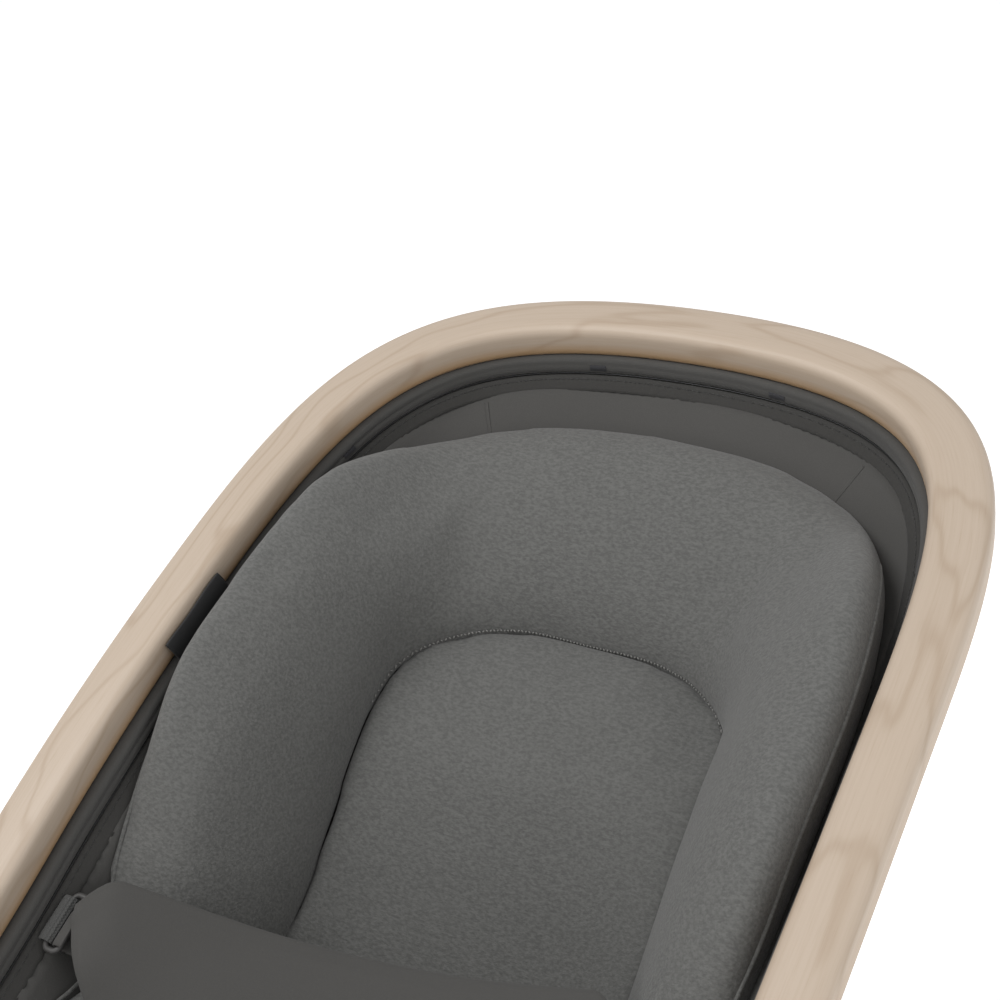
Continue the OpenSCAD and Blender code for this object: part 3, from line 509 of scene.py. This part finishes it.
def studio():
    world = bpy.data.worlds.new("studio")
    bpy.context.scene.world = world
    world.use_nodes = True
    back = world.node_tree.nodes["Background"]
    back.inputs[0].default_value = (1, 1, 1, 1)
    back.inputs[1].default_value = 0.64
    bpy.context.scene.view_settings.view_transform = "Standard"
    square = [(FLOOR_HALF * i, FLOOR_HALF * j) for i, j in ((-1, -1), (1, -1), (1, 1), (-1, 1))]
    walls = [((i + 1) % 4, i, i + 4, (i + 1) % 4 + 4) for i in range(4)]
    corners = [(*q, z) for z in (0, WALL_H) for q in square]
    floor = new_mesh("floor", corners, [(0, 1, 2, 3)] + walls, shade=False)
    m = Mat("pale_floor")
    grit = m.noise(m.place((30, 30, 30)), 2, 0.5)
    tone = m.mix(grit, lin(250, 250, 250), lin(246, 246, 246))
    m.finish(Base_Color=tone, Roughness=0.9, Emission_Color=tone, Emission_Strength=0.45)
    floor.data.materials.append(m.m)
    for name, place, size, power in (("key", (-1.1, -1.1, 2.4), 1.5, 33), ("fill", (1.8, -0.8, 1.6), 1.4, 9)):
        light = bpy.data.lights.new(name, "AREA")
        light.shape = "DISK"
        light.size = size
        light.energy = power
        ob = bpy.data.objects.new(name, light)
        bpy.context.scene.collection.objects.link(ob)
        ob.location = place
        aim = np.array((0, 0.1, 0.4)) - np.array(place)
        tilt, turn = math.atan2(np.hypot(aim[0], aim[1]), -aim[2]), math.atan2(aim[1], aim[0])
        ob.rotation_euler = (tilt, 0, turn - math.pi / 2)


camera()
studio()


# ------------------------------------------------------------------ wooden ring
def wood_ring():
    """The bent wooden ring, with its grain's own coordinates and painted shade on its lower edges: a darker
    tan line inside, a fainter band outside.
    """
    loop = Loop(420)
    m = 44
    a = 2 * np.pi * np.arange(m) / m
    power = 2 / 4
    co, si = (np.sign(f) * np.abs(f) ** power for f in (np.cos(a), np.sin(a)))
    half = WOOD_SIDE + (WOOD_HEAD - WOOD_SIDE) * fade(loop.s)
    ring = ring_solid("ring_wood", loop, [(half * c, WOOD_HALF * s) for c, s in zip(co, si)], WOOD)
    me = ring.data
    corner = np.zeros(len(me.loops), int)
    me.loops.foreach_get("vertex_index", corner)
    station, spot = corner // m, corner % m
    first = np.repeat(np.arange(len(me.polygons)), 4) // m
    half_way = loop.n // 2
    u = np.where((first >= half_way) | (station > half_way), station - loop.n, station)
    u = np.where((station == 0) & (first == loop.n - 1), 0, u) * loop.length / loop.n
    grain = np.stack([u, half[station] * co[spot], WOOD_HALF * si[spot]], -1)
    attr = me.attributes.new("grain", "FLOAT_VECTOR", "CORNER")
    attr.data.foreach_set("vector", grain.ravel())
    ang = a[np.arange(loop.n * m) % m]
    # Painted shade: a darker tan line where the section turns down at the inner lower edge, and a fainter
    # band low on the outer side.
    painted_edge_shade = smooth((-np.cos(ang - np.radians(36)) - 0.86) / 0.04)
    outer = 0.35 * smooth((np.cos(ang + np.radians(24)) - 0.80) / 0.15)
    me.attributes.new("painted_edge_shade", "FLOAT", "POINT").data.foreach_set("value", np.maximum(painted_edge_shade, outer))
    seat_piece(ring, "wood_ring", slot="wood")


def rod():
    """The steel rod under the wood, that the sling hangs from."""
    turns = 2 * np.pi * np.arange(16) / 16
    section = [(ROD_OUT + ROD_R * math.cos(a), ROD_UP + ROD_R * math.sin(a)) for a in turns]
    seat_piece(ring_solid("sling_rod", Loop(240), section, COAT), "sling_frame", slot="painted_steel")


# ------------------------------------------------------------------ sling, edge band and zipper
def sling():
    """The hanging cloth, with a few fine wrinkles below its edge."""
    b = Bed(360)
    steps = 0.97 * (np.arange(34) / 33) ** 1.15
    wrinkle = [0.0011 * np.sin(b.u * 47 + 9 * v) * np.exp(-v * 9) for v in steps]
    top = [at(*b.plan(v), b.depth(v) + w) for v, w in zip(steps, wrinkle)]
    low = [at(*b.plan(v), b.depth(v) + w - SLING_T) for v, w in zip(steps, wrinkle)]
    near = [(-0.0200, -0.0216), (-0.0225, -0.0252), (-0.0252, -0.0284)]
    far = [(-0.0206, -0.0225), (-0.0208, -0.0300), (-0.0212, -0.0370)]
    margin = blended(b, near, far)
    top = [b.offset(o - 0.0006, u + 0.0004) for o, u in margin] + top
    low = [b.offset(o + 0.0008, u - 0.0012) for o, u in margin] + low
    piece = seat_piece(sheet_solid("sling_sheet", top, low, SLING), "sling", slot="sling_cloth")


def blended(loop, near, far, ripple=0.0):
    """Section points that go from near, at the head and sides, to far, the CAD's own, at the foot.

    The ripple goes only to the points on the inner face.
    """
    share = foot_share(loop.s)
    out = []
    for (a, b), (c, d) in zip(near, far):
        o, u = a + (c - a) * share, b + (d - b) * share
        out.append((o + ripple * (np.asarray(a) < -0.0190), u))
    return out


def edge_band():
    """A cloth channel round the rod: its inner wall is the smooth band below the wood."""
    loop = Loop(420)
    flange = [(-0.0186, -0.0098), (-0.0162, -0.0092), (-0.0135, -0.0099), (-0.0105, -0.0112),
              (-0.0072, -0.0118), (-0.0050, -0.0120), (-0.0052, -0.0134), (-0.0085, -0.0136),
              (-0.0112, -0.0150)]
    groove = -0.0204 + 0.0013 * smooth((loop.s - 0.060) / 0.080)
    near = flange + [(-0.0122, -0.0185), (-0.0150, -0.0203), (-0.0180, -0.0206), (-0.0196, -0.0198),
                     (-0.0206, -0.0184), (-0.0209, -0.0166), (-0.0206, -0.0150), (groove, -0.0142),
                     (-0.0201, -0.0136), (-0.0202, -0.0122), (-0.0196, -0.0107)]
    far = flange + [(-0.0122, -0.0180), (-0.0150, -0.0202), (-0.0190, -0.0218), (-0.0232, -0.0232),
                    (-0.0243, -0.0222), (-0.0249, -0.0200), (-0.0250, -0.0165), (-0.0249, -0.0150),
                    (-0.0248, -0.0135), (-0.0246, -0.0105), (-0.0225, -0.0078)]
    soft = 0.0002 * np.sin(loop.u * 61) + 0.0002 * np.sin(loop.u * 23 + 1)
    band = ring_solid("rim_band", loop, blended(loop, near, far, soft), EDGE)
    seat_piece(band, "sling_band", slot="edge_cloth")


def zip_tape():
    """The zipper's cloth tape, slightly puckered by its stitches."""
    loop = Loop(720)
    pucker = 0.00040 * np.sin(loop.u * 2 * math.pi / 0.0071) * (0.6 + 0.4 * np.sin(loop.u * 19))
    near = [(-0.0140, -0.0214), (-0.0200, -0.0211), (-0.0212, -0.0208), (-0.0226, -0.0222),
            (-0.0244, -0.0244), (-0.0262, -0.0264), (-0.0274, -0.0280), (-0.0270, -0.0292),
            (-0.0256, -0.0286), (-0.0232, -0.0262), (-0.0206, -0.0228), (-0.0140, -0.0222)]
    far = [(-0.0150, -0.0262), (-0.0222, -0.0268), (-0.0236, -0.0268), (-0.0252, -0.0284),
           (-0.0256, -0.0320), (-0.0254, -0.0360), (-0.0248, -0.0390), (-0.0236, -0.0398),
           (-0.0222, -0.0388), (-0.0216, -0.0350), (-0.0216, -0.0290), (-0.0150, -0.0272)]
    tape = ring_solid("tape_band", loop, blended(loop, near, far, pucker), TAPE)
    seat_piece(tape, "zip_tape", slot="edge_cloth")


def zip_chain():
    """The zipper's coil, ribbed once for each tooth."""
    loop = Loop(1400)
    rib = 0.00018 * np.sign(np.sin(loop.u * 2 * math.pi / 0.0034))
    near = [(-0.0190, -0.0204), (-0.0197, -0.0197), (-0.0203, -0.0196), (-0.0206, -0.0201),
            (-0.0200, -0.0210)]
    far = [(-0.0236, -0.0262), (-0.0252, -0.0258), (-0.0256, -0.0247), (-0.0252, -0.0236),
           (-0.0236, -0.0232)]
    chain = ring_solid("coil_chain", loop, blended(loop, near, far, rib), ZIP)
    seat_piece(chain, "zip_chain", slot="zip_plastic")


def stitch_row(name, points, normal, length, width, material=THREAD, zigzag=0.0):
    """Short raised threads along a run of points, one for each pair; zigzag turns them both ways."""
    verts, faces = [], []
    for i in range(0, len(points) - 1, 2):
        a, b, up = points[i], points[i + 1], normal[i]
        d = b - a
        gap = np.linalg.norm(d)
        d /= gap
        side = np.cross(up, d)
        if zigzag:
            turn = zigzag if (i // 2) % 2 else -zigzag
            d = d * math.cos(turn) + side * math.sin(turn)
            side = np.cross(up, d)
        mid = (a + b) / 2
        start = len(verts)
        for k, w, h in ((-0.5, 0.15, 0.0), (-0.3, 1.0, 0.6), (0.3, 1.0, 0.6), (0.5, 0.15, 0.0)):
            base = mid + d * k * min(length, gap * 1.6)
            verts += [base - side * width * w - up * width * 0.6, base + up * width * (h + 0.2),
                      base + side * width * w - up * width * 0.6]
        for k in range(3):
            s0 = start + 3 * k
            faces += [(s0 + i, s0 + j, s0 + j + 3, s0 + i + 3) for i, j in ((0, 1), (1, 2), (2, 0))]
        faces += [(start, start + 2, start + 1), (start + 9, start + 10, start + 11)]
    return new_mesh(name, verts, faces, material)


def ring_stitches():
    """The two rows of machine stitches beside the zipper."""
    loop = Loop(1200)
    inward = unit(loop.offset(-0.030, -0.012) - loop.offset(-0.020, -0.02))
    rows = (("band_stitches", (-0.0205, -0.0170), (-0.0249, -0.0198)),
            ("tape_stitches", (-0.0231, -0.0225), (-0.0256, -0.0300)))
    for name, near, far in rows:
        (out, up), = blended(loop, [near], [far])
        seat_piece(stitch_row(name, loop.offset(out, up), inward, 0.0024, 0.0003), slot="edge_cloth")


def sling_seams():
    """The short raised seams that run down the sling's wall at the head's corners."""
    b = Bed(360)
    for word, k in (("left", 25), ("right", 334)):
        line = np.array([at(*b.plan(v), b.depth(v))[k] for v in np.linspace(0.010, 0.18, 40)])
        along = unit(np.gradient(line, axis=0))
        x, s = b.plan(0.2)
        across = unit(at(x[k + 1], s[k + 1], 0) - at(x[k - 1], s[k - 1], 0))
        across = np.broadcast_to(across, line.shape)
        normal = unit(np.cross(along, across))
        normal = normal * np.sign(normal[:, 2:])
        seam = strip("sling_seam_" + word, line + normal * 0.0002, across, normal, 0.0022, 0.0012, SLING)
        seat_piece(seam, slot="sling_cloth")


# ------------------------------------------------------------------ insert
def seat_place(points):
    """The x, s and h of world points, the reverse of at()."""
    s = np.clip((HEAD_Y - points[:, 1]) / math.cos(HEAD_SLOPE), 0, RING_LEN)
    for _ in range(12):
        b = slope(s)
        dy, dz = points[:, 1] - HEAD_Y - side_y(s), points[:, 2] - HEAD_Z - side_z(s)
        s = np.clip(s - dy * np.cos(b) - dz * np.sin(b), 0, RING_LEN)
    h = -(points[:, 1] - HEAD_Y - side_y(s)) * np.sin(b) + (points[:, 2] - HEAD_Z - side_z(s)) * np.cos(b)
    return points[:, 0], s, h


def coords(me):
    co = np.empty(len(me.vertices) * 3)
    me.vertices.foreach_get("co", co)
    return co.reshape(-1, 3)


def set_coords(me, co):
    me.vertices.foreach_set("co", np.asarray(co, float).ravel())
    me.update()


def apply_modifier(ob, name):
    with bpy.context.temp_override(object=ob, active_object=ob, selected_objects=[ob]):
        bpy.ops.object.modifier_apply(modifier=name)


def remesh(ob, voxel):
    mod = ob.modifiers.new("remesh", "REMESH")
    mod.mode = "VOXEL"
    mod.voxel_size = voxel
    mod.use_smooth_shade = True
    apply_modifier(ob, "remesh")


def soften(ob, times, factor=0.5):
    mod = ob.modifiers.new("smooth", "SMOOTH")
    mod.iterations = times
    mod.factor = factor
    apply_modifier(ob, "smooth")


def inflate(ob, pressure, most, frames=20, shrink=-0.03):
    """Blows a closed cloth shape up for a few frames and caps how far each point has moved."""
    start = coords(ob.data)
    mod = ob.modifiers.new("cloth", "CLOTH")
    s = mod.settings
    s.quality = 5
    s.mass = 0.2
    s.tension_stiffness = s.compression_stiffness = 12
    s.shear_stiffness = 8
    s.bending_stiffness = 4
    s.use_pressure = True
    s.uniform_pressure_force = pressure
    s.shrink_min = shrink
    s.effector_weights.gravity = 0
    mod.collision_settings.use_collision = False
    mod.collision_settings.use_self_collision = False
    mod.point_cache.frame_start, mod.point_cache.frame_end = 1, frames
    for frame_no in range(1, frames + 1):
        bpy.context.scene.frame_set(frame_no)
    apply_modifier(ob, "cloth")
    bpy.context.scene.frame_set(1)
    moved = coords(ob.data) - start
    size = np.linalg.norm(moved, axis=1)[:, None]
    set_coords(ob.data, start + moved * np.minimum(1, most * np.tanh(size / most) / np.maximum(size, 1e-9)))


def bed_height(x, s):
    """Height of the sling's upper face at plan places, from the nearest points of its own grid."""
    from mathutils.kdtree import KDTree
    b = Bed(300)
    vs = np.linspace(0, 1, 60)
    px, ps = (np.stack(q) for q in zip(*(b.plan(v) for v in vs)))
    ph = np.stack([b.depth(v) for v in vs])
    tree = KDTree(px.size)
    for i, (qx, qs) in enumerate(zip(px.ravel(), ps.ravel())):
        tree.insert((qx, qs, 0), i)
    tree.balance()
    flat = ph.ravel()
    out = np.empty(len(x))
    for i, (qx, qs) in enumerate(zip(x, s)):
        near = tree.find_n((qx, qs, 0), 10)
        w = np.array([1 / (d + 1.5e-3) for _, _, d in near])
        out[i] = (flat[[k for _, k, _ in near]] * w).sum() / w.sum()
    return out


def lift_off_sling(ob, gap):
    """Raises what lies lower than the gap above the sling."""
    co = coords(ob.data)
    x, s, h = seat_place(co)
    set_coords(ob.data, at(x, s, np.maximum(h, bed_height(x, s) + gap)))


def subdivide(ob):
    mod = ob.modifiers.new("subdivision", "SUBSURF")
    mod.levels = mod.render_levels = 1


def bolster():
    """The insert's padded edge, all round the seat."""
    b = Bed(240)
    us = np.concatenate([np.linspace(0, 0.16, 12), np.linspace(0.2, 0.92, 18), np.linspace(0.94, 1.0, 5)])
    top = []
    for u in us:
        x, s, h = b.bolster(u)
        top.append(at(x, s, h - 0.009 * max(0, (u - 0.86) / 0.14) ** 2))
    low = []
    for u in us[::-1]:
        v = b.insert_v() + (b.pad_v() - b.insert_v()) * u
        low.append(at(*b.plan(v), np.minimum(b.depth(v) + 0.003, b.bolster(u)[2] - 0.008)))
    piece = tube_mesh("head_bolster", np.stack(top + low, 1), INSERT)
    out_of(piece)
    remesh(piece, CUSHION_VOXEL)
    soften(piece, 4)
    inflate(piece, 4, 0.006)
    soften(piece, 6)
    lift_off_sling(piece, 0.0028)
    soften(piece, 6)
    subdivide(piece)
    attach(piece, "seat")
    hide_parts("insert_bolster")
    return piece


def pad():
    """The insert's centre pad, its edge tucked under the bolster."""
    b = Bed(240)
    us = np.concatenate([[0.0, 0.006, 0.015, 0.03, 0.055], np.linspace(0.09, 0.97, 20)])
    top, low = [], []
    for u in us:
        v = b.pad_v() - 0.018 + (1.0 - b.pad_v()) * u
        rise = math.sqrt(1 - (1 - min(1, u / 0.055)) ** 2)
        h = b.depth(v) + 0.010 + (SEAM_T - 0.014) * rise + 0.010 * (1 - (1 - u) ** 3)
        top.append(at(*b.plan(v), h))
        low.append(at(*b.plan(v), b.depth(v) + 0.004))
    piece = sheet_solid("centre_pad", top, low, INSERT)
    out_of(piece)
    remesh(piece, CUSHION_VOXEL)
    soften(piece, 10)
    inflate(piece, 3, 0.004)
    soften(piece, 6)
    lift_off_sling(piece, 0.003)
    subdivide(piece)
    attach(piece, "seat")
    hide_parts("insert_pad")


# ------------------------------------------------------------------ harness
def panel_row(t, n):
    """One row of the belly panel: its top edge is t = 0, and it narrows to the buckle at t = 1."""
    half = PANEL_HALF - (PANEL_HALF - BUCKLE_HALF) * t**1.3
    x = half * np.linspace(-1, 1, n)
    dip = np.where(x < 0.1, 0.4221 - 0.150 * x, 0.4071 + 0.0375 * smooth((x - 0.1) / 0.05))
    corner = np.clip((np.abs(x) / half - 0.90) / 0.10, 0, 1)
    s = dip + 0.018 * corner**2 + (PANEL_END - dip - 0.018 * corner**2) * t
    side = -0.0140 - 0.026 * t - 0.022 * smooth((t - 0.22) / 0.4)
    h = side + (-0.068 - side) * (1 - (x / half) ** 2) * (1 - 0.55 * t) - 0.004 * corner**2
    return x, s, h


def harness():
    """The belly panel's cloth, with a hem along its top edge and soft folds."""
    t = np.linspace(0, 1, 70)[:, None]
    x, s, h = (np.stack(q) for q in zip(*(panel_row(q, 110) for q in t[:, 0])))
    fold = 0.0020 * np.sin(x * 41 + t * 9) * np.exp(-((np.abs(x) - 0.13) / 0.05) ** 2)
    fold += 0.0015 * np.sin(t * 16 + x * 14) * np.exp(-t * 2)
    hem = 0.0010 * np.exp(-(((t - 0.06) / 0.03) ** 2))
    piece = slab("belly_panel", at(x, s, h + 0.0035 + hem + fold), at(x, s, h + 0.0010 + fold), PANEL)
    seat_piece(piece, "harness_panel", slot="sling_cloth")


def strip(name, centre, across, normal, width, thick, material, ribs=0.0, points=15):
    """A flat band along a line: width across, a rounded edge, and ribs woven across it."""
    run = np.concatenate([[0], np.cumsum(np.linalg.norm(np.diff(centre, axis=0), axis=1))])
    w = np.linspace(-1, 1, points)
    rows = []
    for i in range(len(centre)):
        ring = []
        for side in (1, -1):
            for q in (w if side > 0 else w[::-1]):
                round_off = math.sqrt(max(0.0, 1 - abs(q) ** 8))
                twill = 1.3 * math.sin(q * width * math.pi / 0.0017)
                rib = ribs * math.sin(run[i] * 2 * math.pi / 0.0018 + twill)
                lift = side * (thick / 2 * max(round_off, 0.25) + rib * 0.5)
                ring.append(centre[i] + across[i] * q * width / 2 + normal[i] * lift)
        rows.append(ring)
    return tube_mesh(name, rows, material, across=False)


def unit(v):
    v = np.asarray(v, float)
    return v / np.linalg.norm(v, axis=-1, keepdims=True)


def spline(points, n):
    """A smooth line through the points, n points long."""
    p = np.asarray(points, float)
    p = np.concatenate([[2 * p[0] - p[1]], p, [2 * p[-1] - p[-2]]])
    out = []
    for f in np.linspace(0, len(p) - 3 - 1e-9, n):
        i, q = int(f), f - int(f)
        a, b, c, d = p[i:i + 4]
        bend, twist = 2 * a - 5 * b + 4 * c - d, 3 * b - a - 3 * c + d
        out.append(0.5 * (2 * b + (c - a) * q + bend * q * q + twist * q**3))
    return np.array(out)


def side_tag():
    """A blank folded tag sewn into the band, on the child's right side."""
    s0, s1, n = 0.273, 0.325, 40
    profile = spline([(-0.0220, -0.0150), (-0.0212, -0.0080), (-0.0196, -0.0010), (-0.0176, 0.0040),
                      (-0.0168, 0.0046), (-0.0172, 0.0036), (-0.0190, -0.0016), (-0.0205, -0.0080),
                      (-0.0212, -0.0150)], 46)
    half = RING_W / 2 - WOOD_SIDE
    s = np.linspace(s0, s1, n)
    rows = np.stack([at(-(half + out), s, up + 0.0004 * np.sin((s - s0) * 160)) for out, up in profile])
    thick = 0.0003 * unit(np.cross(np.gradient(rows, axis=0), np.gradient(rows, axis=1)))
    piece = seat_piece(slab("blank_tag", rows + thick, rows - thick, TAG), "side_tag", slot="tag_cloth")


def along_ring(line):
    """The ring's own direction at the straps, for each point of a line."""
    return np.broadcast_to(unit(at(0, STRAP_S + 0.01, 0) - at(0, STRAP_S - 0.01, 0)), line.shape)


def webbing(word, side):
    """A loop of ribbed webbing round the outer bar of the strap ring, sewn to the sling's wall."""
    path = spline([(0.1660, -0.0480), (0.1645, -0.0360), (0.1628, -0.0262), (0.1632, -0.0204),
                   (0.1665, -0.0186), (0.1698, -0.0204), (0.1704, -0.0262), (0.1694, -0.0360),
                   (0.1690, -0.0470)], 220)
    centre = at(side * path[:, 0], STRAP_S, path[:, 1])
    across = along_ring(centre)
    normal = np.cross(unit(np.gradient(centre, axis=0)), across)
    piece = strip("web_loop_" + word, centre, across, normal, 0.0245, 0.0013, WEB, ribs=0.0006, points=61)
    seat_piece(piece, "webbing_" + word, slot="webbing")


def strap_ring(word, side):
    """A moulded rectangular ring with rounded corners and a round bar."""
    mid, half_w, half_l, r, bar = 0.162, 0.0045, 0.0145, 0.0035, 0.0016
    corners = [(half_w - r, half_l - r, 0), (-half_w + r, half_l - r, 90),
               (-half_w + r, -half_l + r, 180), (half_w - r, -half_l + r, 270)]
    line = np.array([(cx + r * math.cos(math.radians(a + q)), cy + r * math.sin(math.radians(a + q)))
                     for cx, cy, a in corners for q in range(0, 91, 10)])
    centre = at(side * (mid + line[:, 0]), STRAP_S + line[:, 1], -0.0225)
    along = unit(np.roll(centre, -1, 0) - np.roll(centre, 1, 0))
    up = unit(at(0, STRAP_S, 0.01) - at(0, STRAP_S, 0))
    out = unit(np.cross(along, up))
    a = 2 * np.pi * np.arange(14) / 14
    round_bar = np.cos(a)[None, :, None] * out[:, None] + 0.9 * np.sin(a)[None, :, None] * up
    piece = tube_mesh("ring_" + word, centre[:, None] + bar * round_bar, RING)
    seat_piece(piece, "strap_ring_" + word, slot="grey_plastic")


def panel_loop(word, side):
    """The belly panel's cloth, folded round the inner bar of the strap ring."""
    path = spline([(0.1540, -0.0182), (0.1575, -0.0188), (0.1602, -0.0200), (0.1612, -0.0226),
                   (0.1592, -0.0252), (0.1545, -0.0264), (0.1440, -0.0280)], 60)
    centre = at(side * path[:, 0], STRAP_S + 0.003, path[:, 1])
    across = along_ring(centre)
    normal = np.cross(unit(np.gradient(centre, axis=0)), across)
    piece = strip("panel_loop_" + word, centre, across, normal, 0.0190, 0.0012, PANEL)
    seat_piece(piece, slot="sling_cloth")


def on_surface(piece, points, lift):
    """The nearest places on a piece's mesh, and its normals there."""
    found = [piece.closest_point_on_mesh(tuple(p)) for p in points]
    place = np.array([f[1] for f in found])
    normal = np.array([f[2] for f in found])
    return place + normal * lift, normal


def run_of(b, keep):
    """Stations kept, in order along the ring with the foot at both ends."""
    from_head = np.where(b.u > b.length / 2, b.u - b.length, b.u)
    return np.where(keep)[0][np.argsort(from_head[keep])]


def cord(name, line, normal, radius, material):
    """A round cord along a line, thinning out at both ends."""
    along = unit(np.gradient(line, axis=0))
    side = unit(np.cross(along, normal))
    ends = np.sin(np.linspace(0, math.pi, len(line))) ** 0.2
    a = 2 * np.pi * np.arange(10) / 10
    ring = np.cos(a)[None, :, None] * side[:, None] + np.sin(a)[None, :, None] * normal[:, None]
    thick = radius * (0.1 + 0.9 * ends)[:, None, None]
    return tube_mesh(name, line[:, None] + thick * ring, material, across=False)


def insert_seams(bolster_piece):
    """A zig-zag seam over the pad's arch and a piped seam along the bolster's outer edges."""
    b = Bed(640)
    k = run_of(b, b.s < 0.27)
    x, s = b.plan(b.pad_v() + 0.002)
    h = b.seam() - 0.006
    place, normal = on_surface(bolster_piece, at(x[k], s[k], h[k]), 0.0007)
    stitches = stitch_row("arch_zigzag", place, normal, 0.0022, 0.0005, PALE, zigzag=0.9)
    seat_piece(stitches, slot="insert_cloth")
    x, s, h = b.bolster(0.004)
    for word, side in SIDES:
        k = run_of(b, (b.x * side > 0) & (b.s > 0.13) & (b.s < 0.54))[::2]
        place, normal = on_surface(bolster_piece, at(x[k], s[k], h[k] + 0.004), 0.0003)
        for _ in range(12):
            place[1:-1] = (place[:-2] + 2 * place[1:-1] + place[2:]) / 4
            normal[1:-1] = (normal[:-2] + 2 * normal[1:-1] + normal[2:]) / 4
        wave = 0.0003 * np.sin(np.arange(len(k)) * 0.16)[:, None]
        piece = cord("insert_piping_" + word, place + unit(normal) * wave, unit(normal), 0.0013, INSERT)
        seat_piece(piece, slot="insert_cloth")


wood_ring()
rod()
sling_seams()
side_tag()
for word, side in SIDES:
    webbing(word, side)
    strap_ring(word, side)
    panel_loop(word, side)
sling()
edge_band()
zip_tape()
zip_chain()
ring_stitches()
insert_seams(bolster())
pad()
harness()

# The hard pieces that stay as the CAD made them
NODE_MATERIALS = {
    "painted_steel": COAT, "bare_steel": STEEL, "dark_plastic": DARK, "grey_plastic": GREY,
    "white_nylon": NYLON, "rubber": RUBBER, "webbing": WEB, "tag_cloth": TAG, "zip_plastic": ZIP,
    "zip_metal": DARK_METAL,
}
SLOT_OF = {row["node"]: row["material_slot"] for row in frame["record"]["subparts"]}
for node, ob in frame["nodes"].items():
    if SLOT_OF[node] in NODE_MATERIALS:
        ob.data.materials.clear()
        ob.data.materials.append(NODE_MATERIALS[SLOT_OF[node]])
